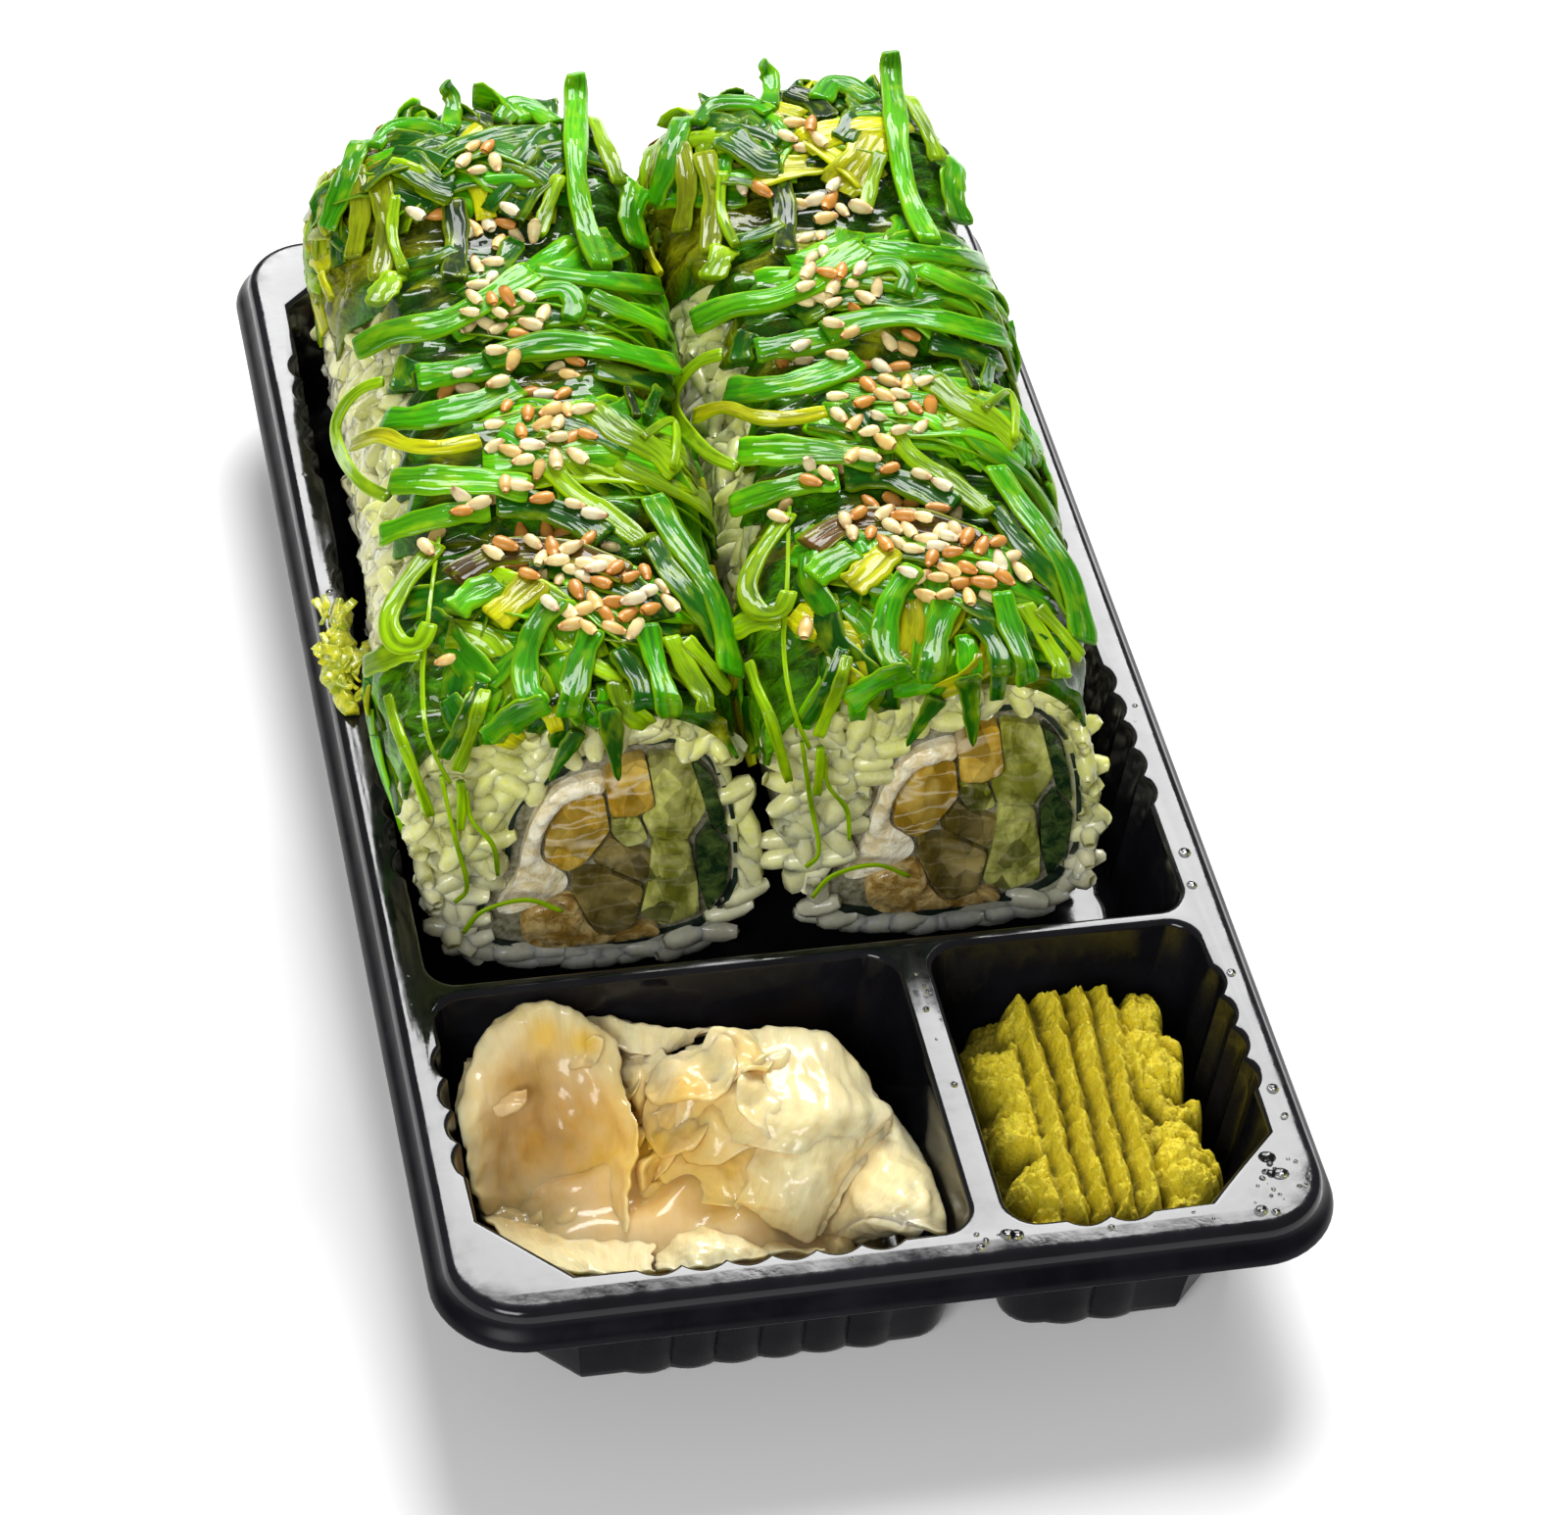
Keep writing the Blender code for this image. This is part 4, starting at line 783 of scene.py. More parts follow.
class Finish:
    """A Principled material put together from a few nodes."""

    def __init__(self, name, roughness, **values):
        self.material = bpy.data.materials.new(name)
        self.material.use_nodes = True
        self.tree = self.material.node_tree
        self.shader = self.tree.nodes["Principled BSDF"]
        self.shader.inputs["Roughness"].default_value = roughness
        for label, value in values.items():
            self.shader.inputs[label.replace("_", " ")].default_value = value
        self.where = self.node("TexCoord").outputs["Object"]

    def node(self, kind, settings=None, **inputs):
        """A shader node with its settings and inputs."""
        made = self.tree.nodes.new("ShaderNode" + kind)
        for label, value in (settings or {}).items():
            setattr(made, label, value)
        for label, value in inputs.items():
            self.feed(made.inputs[label.replace("_", " ")], value)
        return made

    def feed(self, socket, value):
        """Link a socket, or set its value."""
        if isinstance(value, bpy.types.NodeSocket):
            self.tree.links.new(value, socket)
        elif socket.type == "RGBA":
            socket.default_value = (*value, 1.0)
        else:
            socket.default_value = value

    def attribute(self, name, output):
        """An attribute that the mesh carries."""
        return self.node("Attribute", {"attribute_name": name}).outputs[output]

    def scaled(self, vector, scale):
        """A vector stretched along its axes."""
        return self.node("Mapping", Vector=vector, Scale=scale).outputs["Vector"]

    def noise(self, scale, detail=3.0, roughness=0.55, vector=None, distortion=0.0):
        """Noise from 0 to 1."""
        made = self.node(
            "TexNoise", Vector=vector or self.where, Scale=scale, Detail=detail, Roughness=roughness,
            Distortion=distortion,
        )
        return made.outputs["Fac"]

    def between(self, value, low, high, start=0.0, end=1.0):
        """The value's span from low to high turned into start to end."""
        made = self.node("MapRange", Value=value, From_Min=low, From_Max=high, To_Min=start, To_Max=end)
        return made.outputs["Result"]

    def math(self, operation, first, second=0.0):
        """One step of arithmetic."""
        made = self.tree.nodes.new("ShaderNodeMath")
        made.operation = operation
        self.feed(made.inputs[0], first)
        self.feed(made.inputs[1], second)
        return made.outputs[0]

    def mix(self, factor, first, second, blend="MIX"):
        """Two colours mixed."""
        made = self.tree.nodes.new("ShaderNodeMix")
        made.data_type = "RGBA"
        made.blend_type = blend
        self.feed(made.inputs[0], factor)
        self.feed(made.inputs[6], first)
        self.feed(made.inputs[7], second)
        return made.outputs[2]

    def colour(self, value):
        """Set the base colour."""
        self.feed(self.shader.inputs["Base Color"], value)

    def rough(self, value):
        """Set the roughness from a node."""
        self.feed(self.shader.inputs["Roughness"], value)

    def bump(self, height, strength, distance, normal=None):
        """Raise the surface by a height; distance is in millimetres."""
        made = self.node("Bump", Height=height, Strength=strength, Distance=distance * MM)
        if normal is not None:
            self.feed(made.inputs["Normal"], normal)
        self.feed(self.shader.inputs["Normal"], made.outputs["Normal"])
        return made.outputs["Normal"]


def plastic_finish():
    """Glossy black sheet with a faint haze and low waves from forming."""
    made = Finish("black plastic", 0.12, IOR=1.5, Specular_IOR_Level=0.36)
    haze = made.noise(90.0, 4.0, 0.6)
    made.colour(made.mix(made.between(haze, 0.35, 0.75), (0.004, 0.004, 0.0055), (0.009, 0.009, 0.012)))
    fine = made.noise(420.0, 3.0)
    made.rough(made.between(made.math("MULTIPLY", haze, fine), 0.12, 0.42, 0.06, 0.22))
    waves = made.noise(38.0, 2.0, 0.45)
    first = made.bump(waves, 0.35, 1.6)
    made.bump(fine, 0.08, 0.3, first)
    return made.material


def outer_finish():
    """The duller outer side of the sheet."""
    made = Finish("black plastic, outer side", 0.3, IOR=1.5, Specular_IOR_Level=0.1)
    haze = made.noise(120.0, 4.0, 0.6)
    made.colour(made.mix(made.between(haze, 0.35, 0.75), (0.003, 0.003, 0.0045), (0.007, 0.006, 0.009)))
    made.rough(made.between(haze, 0.3, 0.7, 0.22, 0.38))
    made.bump(made.noise(60.0, 2.0, 0.45), 0.3, 1.2)
    return made.material


def rice_finish():
    """Moist cooked rice, yellow-green where the salad's dressing has run."""
    made = Finish(
        "rice", 0.28, IOR=1.38, Subsurface_Weight=0.5, Subsurface_Scale=0.0026, Coat_Weight=0.35,
        Coat_Roughness=0.08,
    )
    made.shader.inputs["Subsurface Radius"].default_value = (1.0, 0.9, 0.45)
    tint = made.attribute("tint", "Color")
    patches = made.noise(900.0, 3.0)
    made.colour(made.mix(made.between(patches, 0.3, 0.8, 0.0, 0.45), tint, (0.86, 0.84, 0.66)))
    made.rough(made.between(made.noise(1500.0), 0.3, 0.7, 0.16, 0.38))
    made.bump(made.noise(2200.0, 2.0), 0.25, 0.18)
    return made.material


def seaweed_finish():
    """Wet seaweed strips: grain along them, a coat of water, and pale edges and patches where light shines
    through, painted into the colour.
    """
    made = Finish(
        "seaweed strips", 0.5, IOR=1.4, Specular_IOR_Level=0.04, Subsurface_Weight=0.4,
        Subsurface_Scale=0.0016, Coat_Weight=0.5, Coat_Roughness=0.03, Coat_IOR=1.42,
    )
    made.shader.inputs["Subsurface Radius"].default_value = (0.8, 1.0, 0.1)
    place = made.attribute("place", "Vector")
    rim = made.node("SeparateXYZ", Vector=place).outputs["Z"]
    streaks = made.noise(1.0, 3.0, 0.6, made.scaled(place, (0.10, 1.5, 0.0)))
    blotches = made.noise(1.0, 2.0, 0.5, made.scaled(place, (0.22, 0.4, 0.0)))
    tint = made.attribute("tint", "Color")
    deep = made.mix(0.55, tint, (0.002, 0.030, 0.0004))
    ribbed = made.mix(made.between(streaks, 0.35, 0.60), deep, tint)
    # Pale edges and thin patches are painted light shining through the strip.
    pale = made.mix(0.5, tint, (0.40, 0.56, 0.003))
    film = made.between(blotches, 0.50, 0.75, 0.0, 0.75)
    clear = made.math("MAXIMUM", film, made.between(rim, 0.7, 1.0, 0.0, 0.7))
    made.colour(made.mix(clear, ribbed, pale))
    made.rough(made.between(blotches, 0.3, 0.7, 0.32, 0.5))
    made.bump(streaks, 0.4, 0.35)
    ripple = made.noise(1.0, 1.0, 0.4, made.scaled(place, (0.14, 0.75, 0.0)))
    wet = made.node("Bump", Height=ripple, Strength=0.9, Distance=1.0 * MM)
    made.feed(made.shader.inputs["Coat Normal"], wet.outputs["Normal"])
    return made.material


def blanket_finish():
    """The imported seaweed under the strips: a dark green tangle."""
    made = Finish(
        "seaweed tangle", 0.5, IOR=1.4, Specular_IOR_Level=0.04, Subsurface_Weight=0.25,
        Subsurface_Scale=0.0012, Coat_Weight=0.5, Coat_Roughness=0.04,
    )
    threads = made.noise(170.0, 4.0, 0.65, made.scaled(made.where, (0.55, 1.5, 1.0)), 1.2)
    tangle = made.noise(420.0, 3.0, 0.6, None, 2.0)
    tint = made.attribute("tint", "Color")
    deep = made.mix(0.8, tint, (0.002, 0.012, 0.0008))
    base = made.mix(made.between(threads, 0.38, 0.60), deep, tint)
    light = made.mix(0.5, tint, (0.30, 0.36, 0.004))
    made.colour(made.mix(made.between(tangle, 0.55, 0.8, 0.0, 0.6), base, light))
    made.rough(made.between(tangle, 0.3, 0.7, 0.3, 0.5))
    first = made.bump(threads, 0.9, 1.6)
    made.bump(tangle, 0.6, 0.6, first)
    return made.material


def seed_finish():
    """Sesame seeds, toasted at their tips."""
    made = Finish("sesame", 0.34, IOR=1.45, Subsurface_Weight=0.15, Subsurface_Scale=0.0008)
    place = made.attribute("place", "Vector")
    tip = made.node("SeparateXYZ", Vector=place).outputs["X"]
    speck = made.noise(1400.0, 2.0)
    toast = made.math("MULTIPLY", made.between(tip, 0.1, 0.9), made.between(speck, 0.35, 0.65, 0.2, 1.2))
    tint = made.attribute("tint", "Color")
    made.colour(made.mix(toast, tint, made.mix(0.8, tint, (0.40, 0.12, 0.008))))
    made.bump(made.noise(2600.0, 2.0), 0.2, 0.12)
    return made.material


def soft_finish(
    name, colours, roughness, subsurface, scale, relief, stretch=(1.0, 1.0, 1.0), smear=0.0, facets=0.0,
):
    """A moist filling: two colours in blotches, with grain, and light that enters it."""
    made = Finish(
        name, roughness, IOR=1.4, Subsurface_Weight=subsurface, Subsurface_Scale=0.002, Coat_Weight=0.5,
        Coat_Roughness=0.07,
    )
    made.shader.inputs["Subsurface Radius"].default_value = (1.0, 0.7, 0.35)
    where = made.scaled(made.where, stretch)
    blotches = made.noise(scale, 4.0, 0.6, where, 0.6)
    fine = made.noise(scale * 4.0, 3.0, 0.6, where)
    patches = made.mix(made.between(blotches, 0.40, 0.62), *colours)
    # Each cell of a cut face gets its own brightness: painted light and shade, as on facets turned different
    # ways.
    spread = made.scaled(made.where, (1.3, 0.2, 0.8))
    chunks = made.node("TexVoronoi", Vector=spread, Scale=270.0).outputs["Color"]
    chunk = made.node("SeparateColor", Color=chunks).outputs["Red"]
    cut = made.mix(1.0, patches, made.between(chunk, 0.0, 1.0, 1.0 - facets, 1.0 + facets), "MULTIPLY")
    smears = made.noise(200.0, 1.0, 0.4, made.scaled(made.where, (0.35, 0.2, 1.4)), 0.6)
    band = made.math("SUBTRACT", 1.0, made.math("ABSOLUTE", made.between(smears, 0.46, 0.54, -1.0, 1.0)))
    made.colour(made.mix(made.math("MULTIPLY", band, smear), cut, (0.84, 0.74, 0.52)))
    made.rough(made.between(fine, 0.3, 0.7, roughness - 0.1, roughness + 0.12))
    first = made.bump(blotches, 0.6, relief)
    made.bump(fine, 0.4, 0.4 * relief, first)
    return made.material


def ginger_finish():
    """Pickled ginger: pale cream, amber where it is thick or folded and where shade is painted into its tint,
    with fine fibres.
    """
    made = Finish(
        "pickled ginger", 0.4, IOR=1.4, Specular_IOR_Level=0.15, Subsurface_Weight=0.45,
        Subsurface_Scale=0.004, Coat_Weight=0.45, Coat_Roughness=0.06,
    )
    made.shader.inputs["Subsurface Radius"].default_value = (1.0, 0.55, 0.22)
    tint = made.attribute("tint", "Color")
    place = made.attribute("place", "Vector")
    fibres = made.noise(1.0, 4.0, 0.65, made.scaled(place, (1.1, 0.12, 1.0)))
    clouds = made.noise(120.0, 3.0)
    pale = made.mix(0.6, tint, (0.98, 0.87, 0.68))
    shade = made.mix(made.between(clouds, 0.35, 0.7, 0.0, 0.45), tint, pale)
    made.colour(made.mix(made.between(fibres, 0.3, 0.6, 0.25, 0.0), shade, (0.66, 0.36, 0.05)))
    made.rough(made.between(clouds, 0.3, 0.7, 0.2, 0.4))
    first = made.bump(fibres, 0.3, 0.5)
    made.bump(made.noise(700.0, 3.0), 0.2, 0.25, first)
    return made.material


def wasabi_finish():
    """Grainy yellow-green paste."""
    made = Finish("wasabi", 0.5, IOR=1.4, Subsurface_Weight=0.12, Subsurface_Scale=0.001)
    clouds = made.noise(160.0, 4.0, 0.6)
    grain = made.noise(1500.0, 4.0, 0.7)
    base = made.mix(made.between(clouds, 0.3, 0.7), (0.66, 0.53, 0.008), (0.82, 0.67, 0.024))
    grainy = made.mix(made.between(grain, 0.52, 0.75, 0.0, 0.5), base, (0.95, 0.86, 0.20))
    # The tint carries painted light and shade from the paste's mesh.
    made.colour(made.mix(1.0, grainy, made.attribute("tint", "Color"), "MULTIPLY"))
    made.rough(made.between(grain, 0.3, 0.7, 0.36, 0.62))
    first = made.bump(made.noise(800.0, 4.0, 0.75), 1.0, 1.0)
    made.bump(grain, 0.9, 0.5, first)
    return made.material


def nori_finish():
    """Dried seaweed sheet, softened by the rice."""
    made = Finish("nori", 0.35, IOR=1.4)
    mottle = made.noise(600.0, 4.0, 0.65)
    made.colour(made.mix(made.between(mottle, 0.35, 0.7), (0.004, 0.010, 0.008), (0.018, 0.035, 0.022)))
    made.bump(mottle, 0.6, 0.4)
    return made.material


def drop_finish():
    """Clear water."""
    made = Finish("water drops", 0.02, IOR=1.33, Transmission_Weight=1.0)
    made.colour((1.0, 1.0, 1.0))
    made.bump(made.noise(900.0, 1.0), 0.05, 0.1)
    return made.material


def arc_points(centre, radius, start, steps):
    """Points of a quarter circle that starts at an angle in degrees."""
    angles = np.radians(start + 90.0 * np.arange(steps + 1) / steps)
    return [(centre[0] + radius * math.cos(a), centre[1] + radius * math.sin(a)) for a in angles]


def rounded_rectangle(half_x, half_y, radius, steps):
    """A rounded rectangle round the origin, counter-clockwise."""
    points = []
    for sign_x, sign_y, start in ((1, -1, -90.0), (1, 1, 0.0), (-1, 1, 90.0), (-1, -1, 180.0)):
        points += arc_points((sign_x * (half_x - radius), sign_y * (half_y - radius)), radius, start, steps)
    return points


def fluted_side(groups, forward):
    """Along one straight wall: places and outward bulges of its flutes, in walking order."""
    points = []
    for start, count in groups:
        for step in range(count * FLUTE_STEPS + 1):
            turn = math.pi * step / FLUTE_STEPS
            bulge = FLUTE_DEPTH * abs(math.sin(turn)) ** 0.8
            points.append((start + FLUTE_PITCH * step / FLUTE_STEPS, bulge))
    return points if forward else points[::-1]


def pocket_outline(pocket, inset, bulge):
    """The pocket's outline pulled in by inset, its flutes scaled by bulge, counter-clockwise."""
    left = pocket["left"] + inset
    right = pocket["right"] - inset
    front = pocket["front"] + inset
    back = pocket["back"] - inset
    flutes = {}
    for side, forward in (("front", True), ("right", True), ("back", False), ("left", False)):
        flutes[side] = fluted_side(pocket[f"{side}_flutes"], forward)
    walls = {
        "front_left": [(place, front - bulge * out) for place, out in flutes["front"]],
        "front_right": [(right + bulge * out, place) for place, out in flutes["right"]],
        "back_right": [(place, back + bulge * out) for place, out in flutes["back"]],
        "back_left": [(left - bulge * out, place) for place, out in flutes["left"]],
    }
    corners = (
        (left, front, 180.0, "front_left"), (right, front, 270.0, "front_right"),
        (right, back, 0.0, "back_right"), (left, back, 90.0, "back_left"),
    )
    points = []
    for x, y, start, name in corners:
        inward_x = 1.0 if x == left else -1.0
        inward_y = 1.0 if y == front else -1.0
        if name in pocket["chamfered"]:
            along_x = (x + inward_x * CHAMFER, y)
            along_y = (x, y + inward_y * CHAMFER)
            points += [along_y, along_x] if name in ("front_left", "back_right") else [along_x, along_y]
        else:
            centre = (x + inward_x * POCKET_RADIUS, y + inward_y * POCKET_RADIUS)
            points += arc_points(centre, POCKET_RADIUS, start, 7)
        points += walls[name]
    return points


def pockets():
    """The three pockets: main at the back, ginger front left and wasabi front right."""
    main = {
        "left": -POCKET_X, "right": POCKET_X, "front": DIVIDER_BACK, "back": BACK_EDGE,
        "front_flutes": (), "right_flutes": SIDE_GROUPS, "back_flutes": BACK_GROUPS,
        "left_flutes": SIDE_GROUPS, "chamfered": ("back_left", "back_right"),
    }
    ginger = {
        "left": -POCKET_X, "right": GINGER_RIGHT, "front": FRONT_EDGE, "back": DIVIDER_FRONT,
        "front_flutes": GINGER_FRONT_GROUP, "right_flutes": (), "back_flutes": (),
        "left_flutes": POCKET_SIDE_GROUP, "chamfered": ("front_left",),
    }
    wasabi = {
        "left": WASABI_LEFT, "right": POCKET_X, "front": FRONT_EDGE, "back": DIVIDER_FRONT,
        "front_flutes": WASABI_FRONT_GROUP, "right_flutes": POCKET_SIDE_GROUP, "back_flutes": (),
        "left_flutes": (), "chamfered": ("front_right",),
    }
    return (main, ginger, wasabi)


def wall_levels(offset):
    """(inset, height, flute share) down a pocket's wall, moved outward and down by offset."""
    levels = []
    lip = LIP + offset
    for turn in np.radians((0.0, 22.5, 45.0, 67.5, 90.0)):
        height = TRAY_HEIGHT - offset - lip * (1.0 - math.cos(turn))
        levels.append((-offset - LIP + LIP * math.sin(turn), height, 1.0))
    for share in (0.3, 0.6, 0.85):
        levels.append((DRAFT * share - offset, TRAY_HEIGHT - 1.5 - 19.0 * share, 1.0 - 0.15 * share))
    for turn in np.radians((0.0, 25.0, 50.0, 70.0, 90.0)):
        inset = DRAFT + FOOT_OUT * (1.0 - math.cos(turn)) - offset
        levels.append((inset, FLOOR - offset + 2.7 * (1.0 - math.sin(turn)), 0.85 - 0.55 * math.sin(turn)))
    return levels


def filled(loops, points):
    """Triangles of a flat face whose first loop is its edge and the others are its holes."""
    indices = [first + step for first, count in loops for step in range(count)]
    outlines = [[Vector(points[first + step]) for step in range(count)] for first, count in loops]
    return [tuple(indices[corner] for corner in face) for face in tessellate_polygon(outlines)]


def faces_out(middle, normal):
    """Whether a face of the tray belongs to the sheet's outer side."""
    if middle[2] > TRAY_HEIGHT - 1.6:
        return False
    if abs(middle[0]) > RIM_HALF_X + 0.6 or abs(middle[1]) > RIM_HALF_Y + 0.6:
        return True
    centre = (0.0, 26.0)
    if middle[1] < DIVIDER_FRONT + 0.9:
        centre = (-20.0, -80.0) if middle[0] < GINGER_RIGHT + 2.2 else (33.0, -80.0)
    return bool(normal[2] < -0.5 or normal[:2] @ (middle[:2] - centre) > 0.0)


def make_tray(finish, outer):
    """The formed sheet with rounded lips and full flutes."""
    points = []
    quads = []
    triangles = []

    def add_loop(outline, height):
        first = len(points)
        points.extend((x, y, height) for x, y in outline)
        return first

    def bridge(first, second, count, flipped):
        for step in range(count):
            following = (step + 1) % count
            quad = (first + step, first + following, second + following, second + step)
            quads.append(quad[::-1] if flipped else quad)

    top = TRAY_HEIGHT
    profile = (
        (0.0, top), (0.9, top - 0.15), (1.5, top - 0.8), (1.9, top - 2.2), (2.5, top - 3.1),
        (3.2, top - 3.9), (SKIRT_OUT, top - SKIRT_DROP), (SKIRT_OUT - 0.5, top - SKIRT_DROP - 0.3),
        (2.5, top - 4.2), (1.9, top - 3.6), (1.25, top - 2.7), (0.9, top - 1.3), (0.0, top - SHEET),
    )
    skirt = []
    for outward, height in curve_through(profile, 3 * len(profile) - 2):
        outline = rounded_rectangle(RIM_HALF_X + outward, RIM_HALF_Y + outward, RIM_RADIUS + outward, 12)
        skirt.append((add_loop(outline, height), len(outline)))
    for (first, count), (second, _) in zip(skirt, skirt[1:]):
        bridge(first, second, count, True)
    rims = ([skirt[0]], [skirt[-1]])
    for pocket in pockets():
        for side, offset in enumerate((0.0, SHEET)):
            outlines = [pocket_outline(pocket, inset, bulge) for inset, _, bulge in wall_levels(offset)]
            loops = [add_loop(outline, level[1]) for outline, level in zip(outlines, wall_levels(offset))]
            for first, second in zip(loops, loops[1:]):
                bridge(first, second, len(outlines[0]), side == 1)
            rims[side].append((loops[0], len(outlines[0])))
            triangles += filled([(loops[-1], len(outlines[0]))], points)
    triangles += filled(rims[0], points) + filled(rims[1], points)
    heap = Heap()
    heap.add(points, [np.array(quads), np.array(triangles)])
    made = heap.make("tray_sheet", finish, "tray_plastic", ("tray",), 40.0)
    made.data.materials.append(outer)
    for polygon in made.data.polygons:
        polygon.material_index = int(faces_out(np.array(polygon.center) / MM, np.array(polygon.normal)))


def roll_lean(y):
    """Sideways lean of the rows at distance y, in millimetres for each one of height."""
    share = (UPRIGHT_FROM - np.asarray(y, float)) / (UPRIGHT_FROM - ROLL_FRONT)
    return FRONT_LEAN * np.clip(share, 0.0, 1.0)


def row_surface(row, angle, y, lift=0.0):
    """Points of a row's cross-section at angles, lifted off its surface."""
    angle, y, lift = np.broadcast_arrays(np.asarray(angle, float), y, lift)
    width = ROLL_HALF_WIDTH + 0.35 * np.sin(0.11 * y + 2.0 * row)
    height = ROLL_HALF_HEIGHT + np.where(np.sin(angle) > 0.0, 0.5 * np.sin(0.09 * y + 1.3 * row), 0.0)
    across = (width + lift) * spow(np.cos(angle), 2.0 / ROLL_SQUARENESS)
    up = (height + lift) * spow(np.sin(angle), 2.0 / ROLL_SQUARENESS)
    z = ROLL_BASE + ROLL_HALF_HEIGHT + up
    return np.stack((ROW_X[row] + across - roll_lean(y) * (z - ROLL_BASE), y, z), -1)


FINE_ANGLES = np.linspace(0.0, 2.0 * math.pi, 2001)
FINE_ARC = np.concatenate((
    [0.0], np.cumsum(np.linalg.norm(np.diff(row_surface(0, FINE_ANGLES, 0.0), axis=0), axis=1)),
))
CREST_ARC = np.interp(0.5 * math.pi, FINE_ANGLES, FINE_ARC)


def angle_over(u):
    """Angle of a place u millimetres to the right of a row's crest, measured over the surface."""
    return np.interp((CREST_ARC - np.asarray(u, float)) % FINE_ARC[-1], FINE_ARC, FINE_ANGLES)


def salad_lift(row, angle, y, lumpy=True):
    """Height of the salad over the rice: mounds on each roll, thin hems at the sides."""
    left_hem, right_hem = SEAWEED_HEMS[row]
    across = np.clip((left_hem - np.asarray(angle, float)) / (left_hem - right_hem), 0.0, 1.0)
    hem = np.sin(math.pi * across) ** 0.6
    mound = 0.5 + 0.5 * np.cos(2.0 * math.pi * (y - ROLL_FRONT - 0.5 * ROLL_PITCH) / ROLL_PITCH)
    lump = 0.0
    if lumpy:
        places = stacked(9.0 * across, 0.13 * np.asarray(y, float), 3.0 * row)
        lump = noise_at(places, 1.0)
    return SALAD_LEAST + hem * (SALAD_MIDDLE + SALAD_MOUND * mound + SALAD_LUMP * lump)


def drape(row, u, y, lift):
    """Points over a row, u across from its crest; past the ends they drop down the cuts."""
    u, y, lift = np.broadcast_arrays(np.asarray(u, float), y, lift)
    inside = np.clip(y, ROLL_FRONT - lift, ROW_END + lift)
    drop = np.abs(y - inside)
    points = row_surface(row, angle_over(u), np.clip(y, ROLL_FRONT, ROW_END), lift)
    points[..., 1] = inside
    points[..., 2] -= drop
    points[..., 0] += roll_lean(inside) * drop
    return points


def drape_normals(row, u, y, lift):
    """Outward directions of the draped surface."""
    normals = unit(drape(row, u, y, lift + 1.0) - drape(row, u, y, lift))
    ends = np.clip((ROLL_FRONT + 2.0 - y) / 4.0, 0.0, 1.0)
    backs = np.clip((y - ROW_END + 2.0) / 4.0, 0.0, 1.0)
    flat = (1.0 - ends - backs)[..., None] * normals
    return unit(flat + ends[..., None] * (0.0, -1.0, 0.0) + backs[..., None] * (0.0, 1.0, 0.0))


def rice_core(row, finish):
    """The four logs of a row under their grains; the end ones have a bed for the filling."""
    label = ROW_NAMES[row]
    heap = Heap()
    sides = 120
    angles = angle_over(-FINE_ARC[-1] * np.arange(sides) / sides)
    turn = np.radians((0.0, 30.0, 60.0, 90.0))
    edge = EDGE_ROUND * (1.0 - np.cos(turn)) + FACE_SUNK
    drawn = EDGE_ROUND * (1.0 - np.sin(turn))
    hole = offset_loop(closed_curve(NORI_LOOP, 6), 0.1)
    for number in range(ROLLS_PER_ROW):
        front = ROLL_FRONT + number * ROLL_PITCH
        back = front + ROLL_PITCH - ROLL_CUT
        stations = np.concatenate((front + edge, np.linspace(front + 4.0, back - 4.0, 9), back - edge[::-1]))
        shrink = np.concatenate((drawn, np.zeros(9), drawn[::-1]))
        rings = []
        for y, inward in zip(stations, shrink):
            surface = row_surface(row, angles, y)
            bump = 0.5 + 0.5 * noise_at(surface, 0.37, 7.0 * row)
            rings.append(row_surface(row, angles, y, -inward - SIDE_SUNK - SIDE_BUMP * bump))
        points = np.concatenate(rings)
        faces = [ring_faces(len(rings), sides)]
        caps = []
        beds = []
        for place, ring, facing in ((0, 0, -1.0), (ROLLS_PER_ROW - 1, len(rings) - 1, 1.0)):
            loops = [(ring * sides, sides)]
            if number == place:
                rim = cut_points(row, hole, stations[ring])
                bed = cut_points(row, hole, stations[ring] - facing * BED_DEPTH)
                first = len(points)
                beds.append(slice(first + len(hole), first + 2 * len(hole)))
                points = np.concatenate((points, rim, bed))
                faces.append(ring_faces(2, len(hole)) + first)
                loops.append((first, len(hole)))
                caps.append([(first + len(hole), len(hole))])
            caps.append(loops)
        triangles = []
        for loops in caps:
            triangles += filled(loops, points)
        faces.append(np.array(triangles))
        # The core keeps 0.8 of the rice's colour: painted shade where it shows between the grains.
        tints = 0.8 * rice_stain(points, row)
        # The bed behind the filling is painted dark: shade deep in the hole between the pieces of filling.
        for bed in beds:
            tints[bed] = FILLING_BED
        heap.add(points, faces, tints)
    nodes = [f"roll_{label}_{number}" for number in range(2, ROLLS_PER_ROW + 1)]
    heap.make(f"rice_{label}", finish, "rice", [*nodes, f"roll_{label}_1_rice"], 60.0)


def rice_stain(points, row):
    """Colour of the rice: yellow-green under the salad, white at the sides, greyer low down."""
    points = np.asarray(points, float).reshape(-1, 3)
    aside = np.abs(points[:, 0] - ROW_X[row] + roll_lean(points[:, 1]) * points[:, 2]) > ROLL_HALF_WIDTH - 3.0
    cut = (points[:, 1] > ROLL_FRONT + 3.0) & (points[:, 1] < ROW_END - 3.0)
    patch = 0.5 + 0.5 * noise_at(points, 0.09, 11.0 + row)
    low = ramp(points[:, 2], 34.0, 4.0)
    share = np.clip(0.8 * low + 0.9 * (patch - 0.4) + 0.4 * (aside & cut), 0.0, 1.0)[:, None]
    return blend(blend(RICE_STAINED, RICE_WHITE, share), RICE_LOW, ramp(points[:, 2:], 14.0, 4.0))


